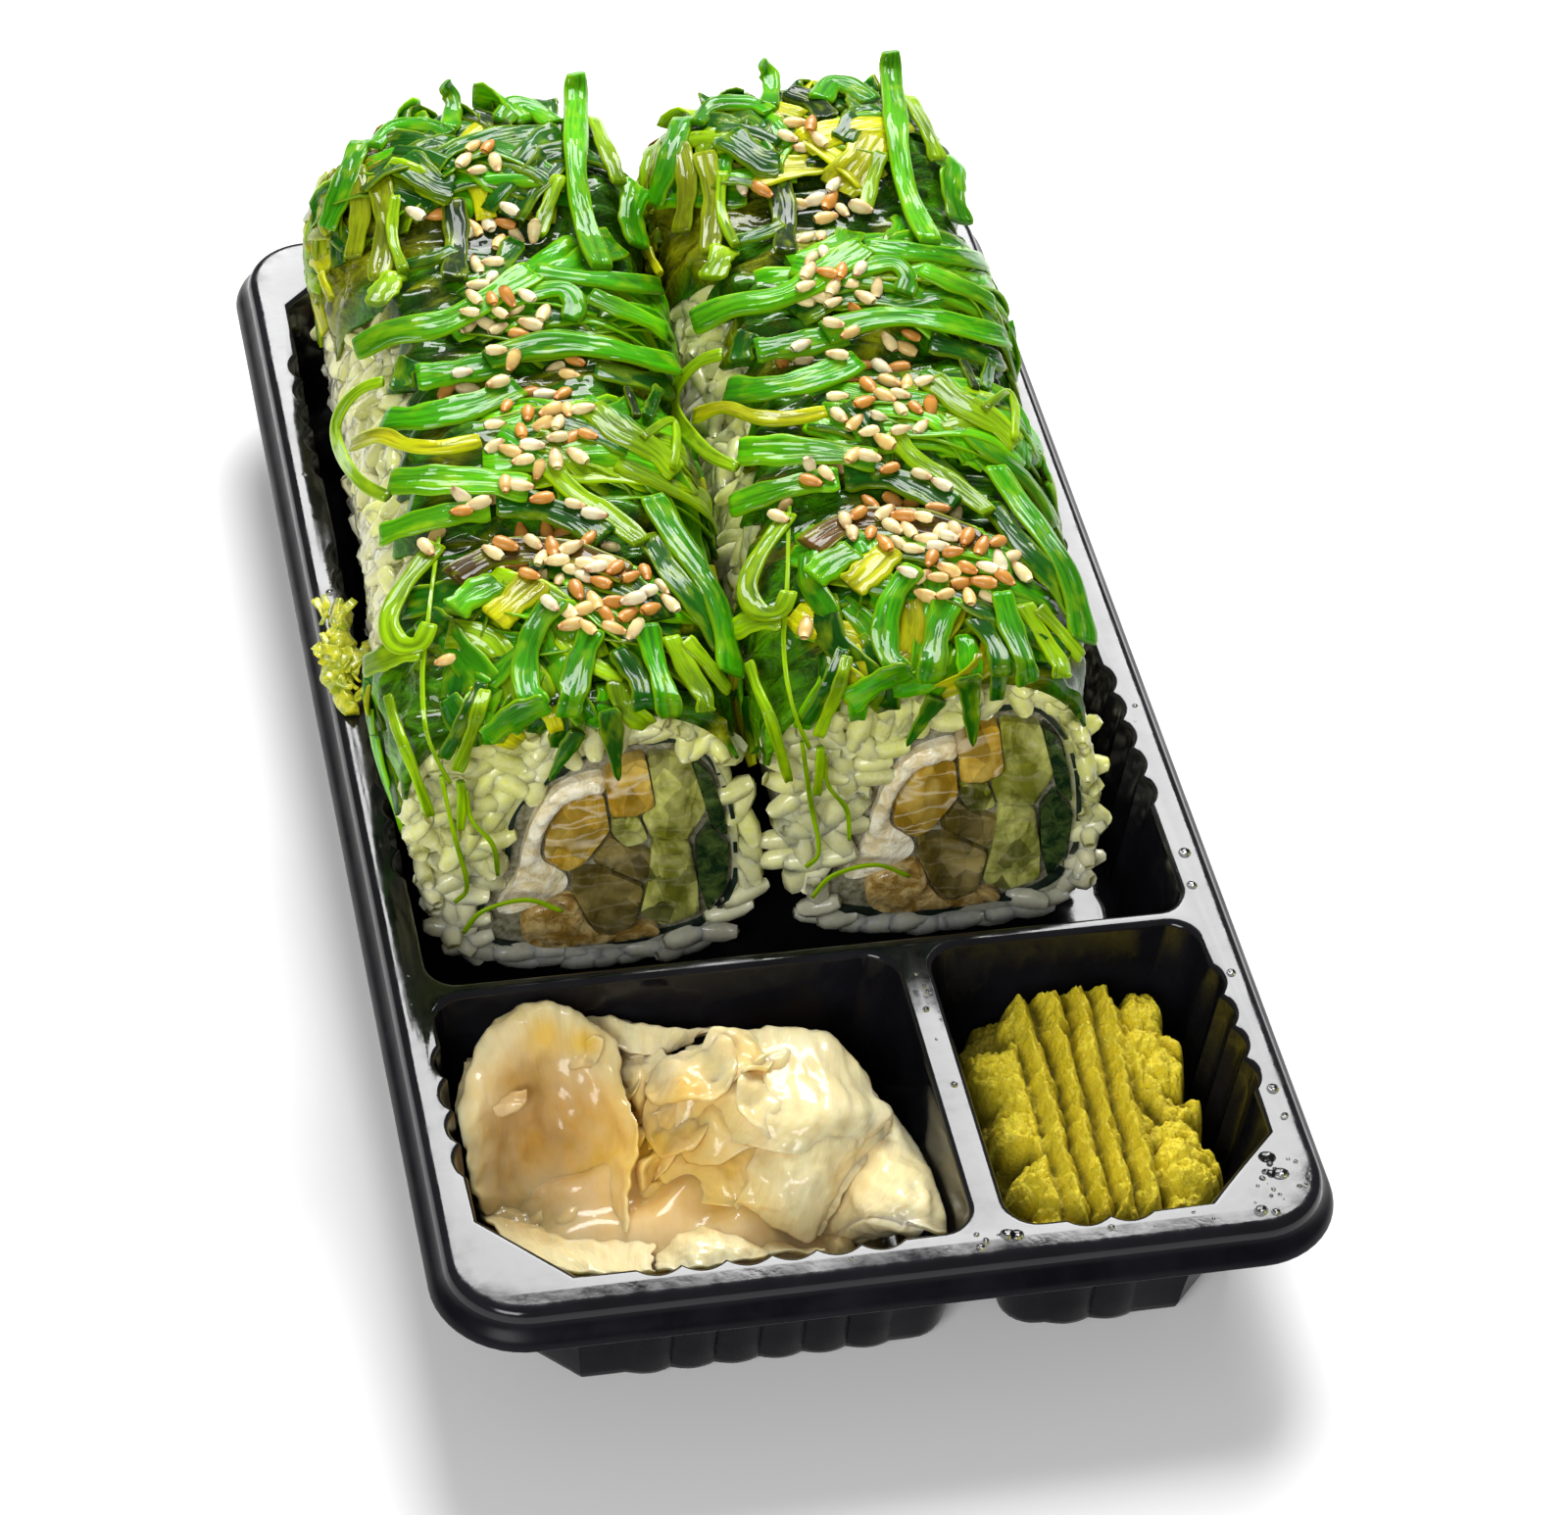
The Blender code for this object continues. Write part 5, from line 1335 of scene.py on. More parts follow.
def offset_loop(loop, distance):
    """A closed loop moved outward by distance."""
    ahead = np.roll(loop, -1, axis=0)
    area = np.sum(loop[:, 0] * ahead[:, 1] - ahead[:, 0] * loop[:, 1])
    along = unit(ahead - np.roll(loop, 1, axis=0))
    normal = np.stack((along[:, 1], -along[:, 0]), 1) * np.sign(area)
    return loop + distance * normal


def cut_points(row, places, y):
    """Points of the filling, given across and up from the roll's base, at distance y."""
    places = np.asarray(places, float)
    across = ROW_X[row] + places[:, 0] - roll_lean(y) * places[:, 1]
    return np.stack((across, np.broadcast_to(y, len(places)), ROLL_BASE + places[:, 1]), 1)


def inside_polygon(points, polygon):
    """Whether each 2-D point lies in a closed polygon."""
    inside = np.zeros(len(points), bool)
    for start, end in zip(polygon, np.roll(polygon, -1, axis=0)):
        crosses = (start[1] > points[:, 1]) != (end[1] > points[:, 1])
        rise = np.where(abs(end[1] - start[1]) < 1e-9, 1e-9, end[1] - start[1])
        reach = start[0] + (points[:, 1] - start[1]) * (end[0] - start[0]) / rise
        inside ^= crosses & (points[:, 0] < reach)
    return inside


def pip_template(sides, stations, radius_of):
    """Points of a small closed shape along X, with rings at stations in degrees, and its faces."""
    turn = 2.0 * math.pi * np.arange(sides) / sides
    rings = []
    for station in np.radians(stations):
        radius = radius_of(station)
        rings.append(stacked(math.sin(station), radius * np.cos(turn), radius * np.sin(turn)))
    points = np.concatenate(rings + [np.array(((-1.0, 0.0, 0.0), (1.0, 0.0, 0.0)))])
    return points, [faces[:, ::-1] for faces in tipped_faces(len(rings), sides)]


def grain_template():
    """Points of one grain of rice along X, slightly bent, and its faces."""
    points, faces = pip_template(6, (-64.0, -28.0, 8.0, 44.0, 72.0), lambda station: math.cos(station) ** 0.6)
    points[:, 1] += 0.18 * (1.0 - points[:, 0] ** 2)
    return points, faces


def scatter(heap, template, places, along, normals, sizes, tints):
    """Copies of a template: X along, Z out of the surface, at given places and sizes."""
    points, faces = template
    side = unit(np.cross(normals, along))
    along = unit(np.cross(side, normals))
    axes = np.stack((along, side, unit(normals)), 1)
    local = points[None] * sizes[:, None, :]
    moved = np.einsum("mvk,mkd->mvd", local, axes) + places[:, None, :]
    count = len(points)
    shift = (np.arange(len(places)) * count)[:, None, None]
    groups = [(face[None] + shift).reshape(-1, face.shape[1]) for face in faces]
    heap.add(moved.reshape(-1, 3), groups, np.repeat(tints, count, 0), np.tile(points, (len(places), 1)))


def hem_left(y):
    """Where the salad ends at the left, across from the crest: short on the middle rolls."""
    y = np.asarray(y, float)
    return np.interp(y, HEM_PLACES, HEM_REACH) + 1.6 * np.sin(0.55 * y) + 1.1 * np.sin(1.3 * y + 1.0)


def hem_right(y):
    """Where the salad ends at the right, across from the crest."""
    y = np.asarray(y, float)
    return RIGHT_HEM + 2.5 * np.sin(0.31 * y + 2.0) + 1.4 * np.sin(0.9 * y)


def rice_grains(row, finish):
    """Loose grains over the sides and the cuts that show."""
    rng = np.random.default_rng(20 + row)
    reach = FINE_ARC[-1]
    us = np.arange(-0.37 * reach, 0.37 * reach, GRAIN_SPACING)
    ys = np.arange(ROLL_FRONT + 2.0, ROW_END - 1.0, GRAIN_SPACING)
    u, y = (grid.ravel() for grid in np.meshgrid(us, ys))
    u = u + rng.uniform(-1.0, 1.0, len(u))
    y = y + rng.uniform(-1.0, 1.0, len(y))
    cut = (y - ROLL_FRONT) % ROLL_PITCH
    bare = (u < hem_left(y) + 5.0) | (u > hem_right(y) - 5.0) | (cut > ROLL_PITCH - 4.5) | (cut < 3.4)
    hidden = (u > INNER_SIDE_REACH) if row == 0 else (u < -INNER_SIDE_REACH)
    keep = bare & ~hidden & (cut > 1.0) & (cut < ROLL_PITCH - 2.0)
    u, y = u[keep], y[keep]
    edge = np.minimum(cut[keep], ROLL_PITCH - ROLL_CUT - cut[keep])
    drawn = 1.1 * np.clip(1.0 - edge / 2.4, 0.0, 1.0) ** 2
    angle = angle_over(u)
    places = [row_surface(row, angle, y, -1.3 - drawn + rng.uniform(-0.4, 0.3, len(u)))]
    normals = [unit(row_surface(row, angle, y, 1.0) - row_surface(row, angle, y, 0.0))]
    hole = offset_loop(closed_curve(NORI_LOOP, 4), 0.35)
    for y_cut, facing in ((ROLL_FRONT, -1.0), (ROW_END, 1.0)):
        spread = (np.arange(-24.0, 24.0, CUT_GRAIN_SPACING), np.arange(-26.0, 26.0, CUT_GRAIN_SPACING))
        across, up = (grid.ravel() for grid in np.meshgrid(*spread))
        across = across + rng.uniform(-0.9, 0.9, len(across))
        up = up + rng.uniform(-0.9, 0.9, len(up))
        shares = (np.abs(across) / CUT_GRAIN_REACH[0], np.abs(up) / CUT_GRAIN_REACH[1])
        level = shares[0] ** ROLL_SQUARENESS + shares[1] ** ROLL_SQUARENESS
        spots = np.stack((across, up + ROLL_HALF_HEIGHT), 1)
        keep = (level < 1.0) & ~inside_polygon(spots, hole)
        edge_draw = 1.3 * np.clip(level[keep], 0.0, 1.0) ** 5
        depth = y_cut - facing * (1.15 + edge_draw + rng.uniform(-0.35, 0.35, keep.sum()))
        places.append(cut_points(row, spots[keep], depth))
        normals.append(np.tile((0.0, facing, 0.0), (keep.sum(), 1)))
    places = np.concatenate(places)
    normals = unit(np.concatenate(normals) + rng.normal(0.0, 0.2, (len(places), 3)))
    along = rng.normal(0.0, 1.0, (len(places), 3))
    low = places[:, 2] < LEVEL_BELOW
    along[low, 2] = 0.0
    normals[low, 2] = 0.0
    places[:, 2] = np.maximum(places[:, 2], LOWEST_GRAIN)
    sizes = np.array(GRAIN_SIZE) * rng.uniform(0.85, 1.15, (len(places), 3))
    tints = rice_stain(places, row) * rng.uniform(0.82, 1.18, (len(places), 1))
    heap = Heap()
    scatter(heap, grain_template(), places, along, normals, sizes, tints)
    heap.make(f"rice_grains_{ROW_NAMES[row]}", finish, "rice", turn_out=False)


def cut_outline(corners, smooth):
    """An outline for a piece of filling: creamy and round, or cut with small blunt corners."""
    if smooth:
        return closed_curve(corners, 5)
    corners = np.asarray(corners, float)
    points = []
    for start, end in zip(corners, np.roll(corners, -1, axis=0)):
        steps = max(2, round(float(np.linalg.norm(end - start)) / 0.75))
        points += [start + (end - start) * step / steps for step in range(steps)]
    points = np.array(points)
    return 0.5 * points + 0.25 * (np.roll(points, 1, axis=0) + np.roll(points, -1, axis=0))


def filling_body(heap, row, corners, y_face, facing, look, seed):
    """One filling: a prism with an uneven cut face."""
    dome, rough, smooth = look
    outline = offset_loop(cut_outline(corners, smooth), 0.12)
    low, high = outline.min(0), outline.max(0)
    spans = [np.arange(start, end, FILLING_CELL) for start, end in zip(low, high)]
    spots = np.stack([grid.ravel() for grid in np.meshgrid(*spans)], 1)
    gap = np.linalg.norm(spots[:, None] - outline[None], axis=2).min(1)
    spots = spots[inside_polygon(spots, outline) & (gap > 0.4)]
    given = [Vector(point) for point in np.concatenate((outline, spots))]
    count = len(outline)
    verts, _, faces, origins, _, _ = delaunay_2d_cdt(given, [], [list(range(count))], 1, 1e-6)
    flat = np.array([tuple(vert) for vert in verts])
    border = {index: place for place, origin in enumerate(origins) for index in origin if index < count}
    loop = np.array([border[index] for index in range(count)])
    gap = np.linalg.norm(flat[:, None] - outline[None], axis=2).min(1)
    crown = dome * (1.0 - np.exp(-gap / (0.8 if smooth else 0.35)))
    layered = np.column_stack((flat, np.full(len(flat), seed)))
    chunk = np.abs(noise_at(layered, 0.28, 2.0)) + 0.6 * np.abs(noise_at(layered, 0.6, 6.0))
    uneven = rough * (noise_at(layered, 0.4) + 0.5 * noise_at(layered, 1.2)) + 0.9 * (0.25 - chunk)
    tilt = 0.05 * math.sin(seed) * (flat[:, 0] - flat[:, 0].mean()) + 0.05 * math.cos(seed) * (
        flat[:, 1] - flat[:, 1].mean())
    face_y = y_face + facing * (crown - dome + (uneven + tilt) * np.clip(gap / 0.5, 0.3, 1.0))
    front = cut_points(row, flat, face_y)
    middle = cut_points(row, outline, y_face - facing * (dome + 0.9))
    back = cut_points(row, outline, y_face - facing * FILLING_DEPTH)
    first = len(front)
    points = np.concatenate((front, middle, back))
    around, following = neighbours(count)
    sides = np.stack((loop[around], loop[following], first + following, first + around), 1)
    cap = filled([(first + count, count)], points)
    heap.add(points, [np.array(faces), sides, ring_faces(2, count) + first, np.array(cap)])


def nori_ring(heap, row, y_face, facing):
    """The rolled sheet of seaweed round the filling, its edge a little torn."""
    ring = closed_curve(NORI_LOOP, 6)
    count = len(ring)
    torn = 0.35 + 1.5 * noise_at(np.column_stack((ring, np.zeros(count))), 0.3, 4.0 + row)
    inner = offset_loop(ring, -0.75 * NORI_THICKNESS)
    edge_y = y_face - facing * (0.75 + torn)
    loops = (
        cut_points(row, ring, edge_y), cut_points(row, ring, y_face - facing * FILLING_DEPTH),
        cut_points(row, inner, y_face - facing * FILLING_DEPTH), cut_points(row, inner, edge_y),
    )
    around, following = neighbours(count)
    lip = stacked(3 * count + around, 3 * count + following, following, around)
    heap.add(np.concatenate(loops), [ring_faces(4, count), lip])


def make_fillings(row, finishes):
    """The fillings and the seaweed sheet at the front cut of a row, and again at its back."""
    label = ROW_NAMES[row]
    for y_face, facing, suffix in ((ROLL_FRONT, -1.0, ""), (ROW_END, 1.0, "_back")):
        heap = Heap()
        nori_ring(heap, row, y_face, facing)
        nodes = () if suffix else (f"roll_{label}_1_nori",)
        heap.make(f"nori_{label}{suffix}", finishes["nori"], "nori", nodes, 50.0)
        for number, (name, corners) in enumerate(FILLINGS.items()):
            kind = name.split("_")[0]
            heap = Heap()
            face = y_face + facing * (0.1 - 0.35 * math.sin(2.4 * number))
            filling_body(heap, row, corners, face, facing, FILLING_LOOK[kind], 5.0 * number)
            nodes = () if suffix else (f"roll_{label}_1_{name}",)
            heap.make(f"{name}_{label}{suffix}", finishes[kind], FILLING_SLOTS[kind], nodes, 60.0)


def salad_core(row, heap):
    """The dense blanket of seaweed that lies over a row of rolls."""
    rows, columns = 200, 80
    y = np.linspace(ROLL_FRONT - 0.8, ROW_END + 0.8, rows)[:, None]
    share = np.linspace(0.0, 1.0, columns)[None, :]
    u, y = np.broadcast_arrays(hem_left(y) + (hem_right(y) - hem_left(y)) * share, y)
    angle = angle_over(u)
    base = row_surface(row, angle, y)
    relief = noise_at(base * (0.5, 1.6, 0.5), 0.28, 9.0 + row)
    fine = noise_at(base * (0.6, 1.4, 0.6), 0.8, 2.0)
    thin = np.clip(np.minimum(share, 1.0 - share) * 9.0, 0.0, 1.0)
    lift = (salad_lift(row, angle, y) - 0.9 + 1.3 * relief + 0.5 * fine) * thin
    top = row_surface(row, angle, y, np.maximum(0.1, lift))
    under = row_surface(row, angle, y, -0.4)
    for points in (top, under):
        middle = ROW_X[row] - roll_lean(points[..., 1]) * (points[..., 2] - ROLL_BASE)
        if row == 0:
            points[..., 0] = np.minimum(points[..., 0], middle + SEAM_HALF)
        else:
            points[..., 0] = np.maximum(points[..., 0], middle - SEAM_HALF)
    tint = salad_tint(row, u, y)
    closed_grid(heap, top, under, np.concatenate((tint, tint)))


def salad_tint(row, u, y):
    """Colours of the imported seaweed: mixed greens, and yellow, dark and green bands on the last roll."""
    spots = stacked(0.16 * u, 0.22 * y, 5.0 * row)
    patch = noise_at(spots, 1.0).ravel()[:, None]
    yellow = np.clip(3.0 * patch - 0.3, 0.0, 1.0)
    bright = np.clip(0.5 - 2.5 * patch, 0.0, 1.0)
    mixed = blend(blend(TANGLE_DARK, TANGLE_BRIGHT, bright), TANGLE_YELLOW, yellow)
    flat_u, flat_y = u.ravel()[:, None], y.ravel()[:, None]
    hanging = ramp(flat_u, -13.0, -20.0) * ramp(flat_y, -12.0, -16.0)
    mixed = blend(mixed, (1.0 + 0.8 * patch) * TANGLE_HANGING, hanging)
    banded = blend(LAST_ROLL_MIDDLE, LAST_ROLL_LEFT, ramp(flat_u, -6.0, -12.0))
    banded = blend(banded, LAST_ROLL_RIGHT, ramp(flat_u, 6.0, 12.0)) * (1.0 + 0.9 * patch)
    return blend(mixed, banded, ramp(flat_y, 62.0, 66.0))


def add_strip(heap, path, normals, width, thickness, tint, rng, curl=0.0, twist=0.0, pointed=0.0):
    """A strip of seaweed along a path, its flat side turned along the normals."""
    count = len(path)
    along = unit(np.gradient(path, axis=0))
    side = unit(np.cross(along, normals))
    up = unit(np.cross(side, along))
    share = np.linspace(0.0, 1.0, count)
    turn = twist * (share - 0.5) + 0.6 * abs(twist) * np.sin(5.0 * share + rng.uniform(0.0, 6.0))
    turned_side = side * np.cos(turn)[:, None] + up * np.sin(turn)[:, None]
    turned_up = up * np.cos(turn)[:, None] - side * np.sin(turn)[:, None]
    angle = 2.0 * math.pi * np.arange(STRIP_SIDES) / STRIP_SIDES
    across = spow(np.cos(angle), 0.8)
    rise = spow(np.sin(angle), 0.8)
    rise = np.where(rise > 0.0, rise * (0.5 + 0.5 * np.abs(across)), rise)
    swell = 1.0 + 0.10 * np.sin(9.0 * share + rng.uniform(0.0, 6.0)) + 0.05 * np.sin(23.0 * share)
    half = 0.5 * width * swell * (1.0 - pointed * share ** 2)
    half[0] *= 0.9
    half[-1] *= 0.9 if pointed < 0.5 else 0.4
    thick = 0.5 * thickness * (1.0 - 0.5 * pointed * share)
    bend = curl * np.sin(3.0 * share + rng.uniform(0.0, 3.0))
    points = []
    for place in range(count):
        lift = rise * thick[place] + bend[place] * half[place] * (across ** 2 - 0.4)
        sideways = np.outer(across * half[place], turned_side[place])
        points.append(path[place] + sideways + np.outer(lift, turned_up[place]))
    points = np.concatenate(points + [path[:1], path[-1:]])
    length = np.concatenate(([0.0], np.cumsum(np.linalg.norm(np.diff(path, axis=0), axis=1))))
    seed = rng.uniform(0.0, 40.0)
    places = np.zeros((len(points), 3))
    places[:-2, 0] = np.repeat(length, STRIP_SIDES) + seed
    places[:-2, 1] = np.tile(across * 0.5 * width, count) + 7.0 * seed
    # Z holds how near the edge each point lies, for the painted light through the edges.
    places[:-2, 2] = np.tile(np.abs(across), count)
    places[-2:, 0] = (seed, length[-1] + seed)
    shade = 1.0 + 0.3 * np.sin(4.0 * places[:, :1] / max(8.0, length[-1]) + seed)
    heap.add(points, tipped_faces(count, STRIP_SIDES), np.asarray(tint) * shade, places)


def row_hits(pixels, extra):
    """Where the camera's rays meet the left row's salad, and the directions out of it."""
    rays = camera_rays(pixels)
    reach = np.arange(*RAY_REACH)
    points = CAMERA_PLACE + rays[:, None, :] * reach[None, :, None]
    up = points[..., 2] - ROLL_BASE - ROLL_HALF_HEIGHT
    across = points[..., 0] - ROW_X[0] + roll_lean(points[..., 1]) * (points[..., 2] - ROLL_BASE)
    angle = np.arctan2(
        spow(up / ROLL_HALF_HEIGHT, 0.5 * ROLL_SQUARENESS),
        spow(across / ROLL_HALF_WIDTH, 0.5 * ROLL_SQUARENESS),
    ) % (2.0 * math.pi)
    y = points[..., 1]
    lift = salad_lift(0, angle, y, False) + extra
    level = (
        (np.abs(across) / (ROLL_HALF_WIDTH + lift)) ** ROLL_SQUARENESS
        + (np.abs(up) / (ROLL_HALF_HEIGHT + lift)) ** ROLL_SQUARENESS
    )
    front = np.minimum(lift, 2.0 + extra)
    outside = np.maximum(level - 1.0, 0.0) + np.maximum(ROLL_FRONT - front - y, 0.0) * 0.2
    outside += np.maximum(y - ROW_END - front, 0.0) * 0.2
    first = np.where((outside <= 0.0).any(1), (outside <= 0.0).argmax(1), outside.argmin(1))
    pick = np.arange(len(pixels))
    hit = points[pick, first]
    slope_x = spow(across[pick, first] / ROLL_HALF_WIDTH, ROLL_SQUARENESS - 1.0)
    slope_z = spow(up[pick, first] / ROLL_HALF_HEIGHT, ROLL_SQUARENESS - 1.0)
    normals = stacked(slope_x, 0.0, slope_z + roll_lean(hit[:, 1]) * slope_x)
    near = np.clip(1.0 - (hit[:, 1] - ROLL_FRONT + front[pick, first]) / 3.0, 0.0, 1.0)[:, None]
    normals = unit(unit(normals) * (1.0 - near) + near * (0.0, -1.0, 0.0))
    return hit, normals


def smoothed(values, passes):
    """Values along a path with their jumps rounded off, ends kept."""
    values = values.copy()
    for _ in range(passes):
        values[1:-1] = 0.25 * values[:-2] + 0.5 * values[1:-1] + 0.25 * values[2:]
    return values


def shown_strips(heaps):
    """The strips and tendrils that the photo shows, on the left row and again on the right one."""
    rng = np.random.default_rng(7)
    shift = np.array((ROW_X[1] - ROW_X[0], 0.0, 0.0))
    for name, (tint, width, extra, path) in SHOWN_STRIPS.items():
        pixels = curve_through(path, 5 * len(path) + 4)
        points, normals = row_hits(pixels, extra)
        points = smoothed(points, 4)
        normals = unit(smoothed(normals, 4) + (0.0, -0.25, 0.2))
        wide = width * pixel_size(points).mean()
        pointed = 0.8 if name.startswith("leaf") else 0.0
        thickness = STANDING_THICKNESS if name == "standing" else STRIP_THICKNESS
        for row in (0, 1):
            add_strip(
                heaps[row], points + row * shift, normals, wide, thickness, SEAWEED_TINTS[tint], rng,
                curl=rng.uniform(-0.3, 0.3), twist=rng.uniform(-0.25, 0.25), pointed=pointed,
            )
    for path in TENDRILS.values():
        pixels = curve_through(path, 6 * len(path))
        points, normals = row_hits(pixels, TENDRIL_LIFT)
        points = smoothed(points, 2)
        wide = TENDRIL_WIDTH_PIXELS * pixel_size(points).mean()
        for row in (0, 1):
            draped = points + row * shift
            add_strip(heaps[row], draped, normals, wide, TENDRIL_THICKNESS, SEAWEED_TINTS["lime"], rng)


def filler_strips(row, heap):
    """Strips that fill the tangle between the shown ones."""
    rng = np.random.default_rng(60 + row)
    for ys, us, heading, spread, lengths, widths, count, colours in FILLER_ZONES:
        for _ in range(count):
            length = rng.uniform(*lengths)
            steps = max(8, int(length / 1.5))
            turn = math.radians(heading + rng.uniform(-spread, spread))
            bend = math.radians(rng.uniform(-80.0, 80.0)) / steps
            numbers = np.arange(steps)
            headings = turn + bend * numbers + 0.25 * np.sin(0.5 * numbers + rng.uniform(0, 6))
            step = length / steps
            u = rng.uniform(*us) + np.cumsum(np.cos(headings) * step)
            y = rng.uniform(*ys) + np.cumsum(np.sin(headings) * step)
            u = u - 0.5 * (u.mean() - 0.5 * (us[0] + us[1]))
            y = y - 0.5 * (y.mean() - 0.5 * (ys[0] + ys[1]))
            u = np.clip(u, *FILLER_REACH[row])
            y = np.clip(y, ROLL_FRONT - 14.0, ROW_END + 7.0)
            share = np.linspace(0.0, 1.0, steps)
            lift = salad_lift(row, angle_over(u), np.clip(y, ROLL_FRONT, ROW_END), False)
            lift = np.minimum(lift, 2.4 + 4.0 * np.clip((y - ROLL_FRONT) / 6.0, 0.0, 1.0))
            lift = lift + rng.uniform(-1.0, 0.5) + 0.6 * np.sin(math.pi * share * rng.uniform(0.6, 1.6))
            points = smoothed(drape(row, u, y, np.maximum(lift, 0.6)), 4)
            normals = unit(smoothed(drape_normals(row, u, y, 2.0), 4))
            choices = FILLER_COLOURS[colours]
            tint = np.array(SEAWEED_TINTS[choices[rng.integers(len(choices))]])
            add_strip(
                heap, points, normals, rng.uniform(*widths), rng.uniform(0.7, 1.0),
                tint * rng.uniform(0.8, 1.3), rng, curl=rng.uniform(-0.5, 0.5), twist=rng.uniform(-0.4, 0.4),
            )


def seed_template():
    """Points of one sesame seed: a flat drop with its tip towards +X."""
    stations = (-62.0, -30.0, 2.0, 34.0, 62.0)
    return pip_template(8, stations, lambda station: math.cos(station) * (1.0 - 0.28 * math.sin(station)))


def sesame(heaps, finish):
    """Sesame seeds in the clusters that the photo shows, laid on the top of the salad."""
    rng = np.random.default_rng(5)
    trees = [heap.tree() for heap in heaps]
    pixels = []
    for x, y, reach_x, reach_y, count in SEED_CLUSTERS:
        kept = []
        for _ in range(60 * count):
            if len(kept) == count:
                break
            radius = math.sqrt(rng.uniform()) if count > 1 else 0.0
            turn = rng.uniform(0.0, 2.0 * math.pi)
            spot = np.array((x + reach_x * radius * math.cos(turn), y + reach_y * radius * math.sin(turn)))
            if all(np.linalg.norm(spot - other) > 15.0 for other in kept):
                kept.append(spot)
        pixels += kept
    rays = camera_rays(np.array(pixels))
    start = Vector(CAMERA_PLACE)
    shift = Vector((ROW_X[1] - ROW_X[0], 0.0, 0.0))
    toasts = rng.uniform(0.0, 1.0, len(pixels))
    for row in (0, 1):
        places, normals, tints = [], [], []
        for ray, toast in zip(rays, toasts):
            direction = Vector(ray)
            hit, normal, _, _ = trees[row].ray_cast(start + shift * row, direction)
            if hit is None:
                continue
            if normal.dot(direction) > 0.0:
                normal = -normal
            normals.append(np.array(normal) + (0.0, 0.0, 0.8))
            places.append(np.array(hit) + unit(normals[-1]) * 0.45)
            place = min(int(toast * 5.2), 4)
            tints.append(SEED_COLOURS[(0, 0, 1, 2, 3)[place]])
        places, normals = np.array(places), unit(np.array(normals))
        along = unit(rng.normal(0.0, 1.0, (len(places), 3)))
        sizes = np.array(SEED_SIZE) * rng.uniform(0.88, 1.12, (len(places), 1))
        heap = Heap()
        tints = np.array(tints) * rng.uniform(0.85, 1.1, (len(places), 1))
        scatter(heap, seed_template(), places, along, normals, sizes, tints)
        heap.make(f"sesame_{ROW_NAMES[row]}", finish, "seaweed", turn_out=False)


def make_salads(finishes, seed):
    """The seaweed salad of both rows."""
    cores = (Heap(), Heap())
    strips = (Heap(), Heap())
    for row in (0, 1):
        salad_core(row, cores[row])
        filler_strips(row, strips[row])
    shown_strips(strips)
    both = []
    for row, label in enumerate(ROW_NAMES):
        cores[row].make(f"seaweed_tangle_{label}", finishes["blanket"], "seaweed", (f"seaweed_{label}",))
        strips[row].make(f"seaweed_strips_{label}", finishes["seaweed"], "seaweed")
        joined = Heap()
        for part in (cores[row], strips[row]):
            joined.add(np.concatenate(part.points), part.faces)
        both.append(joined)
    sesame(both, seed)


def make_scrap(finish):
    """The ragged shred of yellow-green seaweed over the left rim."""
    heap = Heap()
    rows, columns = 46, 12
    t = np.linspace(0.0, 1.0, rows)[:, None]
    across = np.linspace(-1.0, 1.0, columns)[None, :]
    y = SHRED_START + SHRED_LENGTH * t
    half = 0.7 + 1.7 * np.sin(math.pi * (0.08 + 0.84 * t)) * (0.8 + 0.35 * np.sin(23.0 * t))
    x = SHRED_X - 1.1 * np.sin(5.0 * t) + across * half
    flat = stacked(x, y, 0.0)
    bumps = noise_at(flat, 0.9)
    crown = (1.0 - across ** 2) * (1.0 + 1.5 * np.sin(math.pi * (0.1 + 0.8 * t)))
    z = TRAY_HEIGHT + 0.55 + crown + 0.7 * bumps * (1.0 - 0.5 * across ** 2)
    top = stacked(x + 0.4 * bumps, y, z)
    under = stacked(x, y, TRAY_HEIGHT + 0.15 + 0.3 * np.abs(bumps))
    closed_grid(heap, top, under)
    rng = np.random.default_rng(17)
    for _ in range(SHRED_STRIPS):
        start = np.array((rng.uniform(-58.0, -53.4), rng.uniform(1.5, 20.0), rng.uniform(0.9, 3.0)))
        start[2] += TRAY_HEIGHT
        way = np.array((rng.uniform(-0.5, 0.5), rng.uniform(0.5, 1.0), rng.uniform(-0.25, 0.25)))
        bend = rng.uniform(-2.0, 2.0) * np.array((1.0, 0.2, 0.3))
        steps = np.linspace(0.0, 1.0, 12)[:, None]
        path = start + way * rng.uniform(3.5, 7.0) * steps + bend * np.sin(math.pi * steps)
        path[:, 0] = np.maximum(path[:, 0], SHRED_OUTER_X)
        path[:, 2] = np.maximum(path[:, 2], TRAY_HEIGHT + 0.7)
        upright = np.tile(unit(np.array((rng.uniform(-0.6, 0.6), 0.0, 1.0))), (len(path), 1))
        width, twist = rng.uniform(0.7, 1.9), rng.uniform(-1.0, 1.0)
        add_strip(heap, path, upright, width, SHRED_STRIP_THICKNESS, (1.0, 1.0, 1.0), rng, twist=twist)
    heap.make("pale_shred", finish, "pale_seaweed", ("seaweed_scrap",))


def wall_inset(z):
    """How far a pocket's wall stands in from the rim's edge at heights z."""
    upper = DRAFT * (TRAY_HEIGHT - z) / (TRAY_HEIGHT - FOOT_TOP)
    lower = DRAFT + FOOT_OUT * (FOOT_TOP - np.maximum(z, FLOOR)) / (FOOT_TOP - FLOOR)
    return np.where(z >= FOOT_TOP, upper, lower)


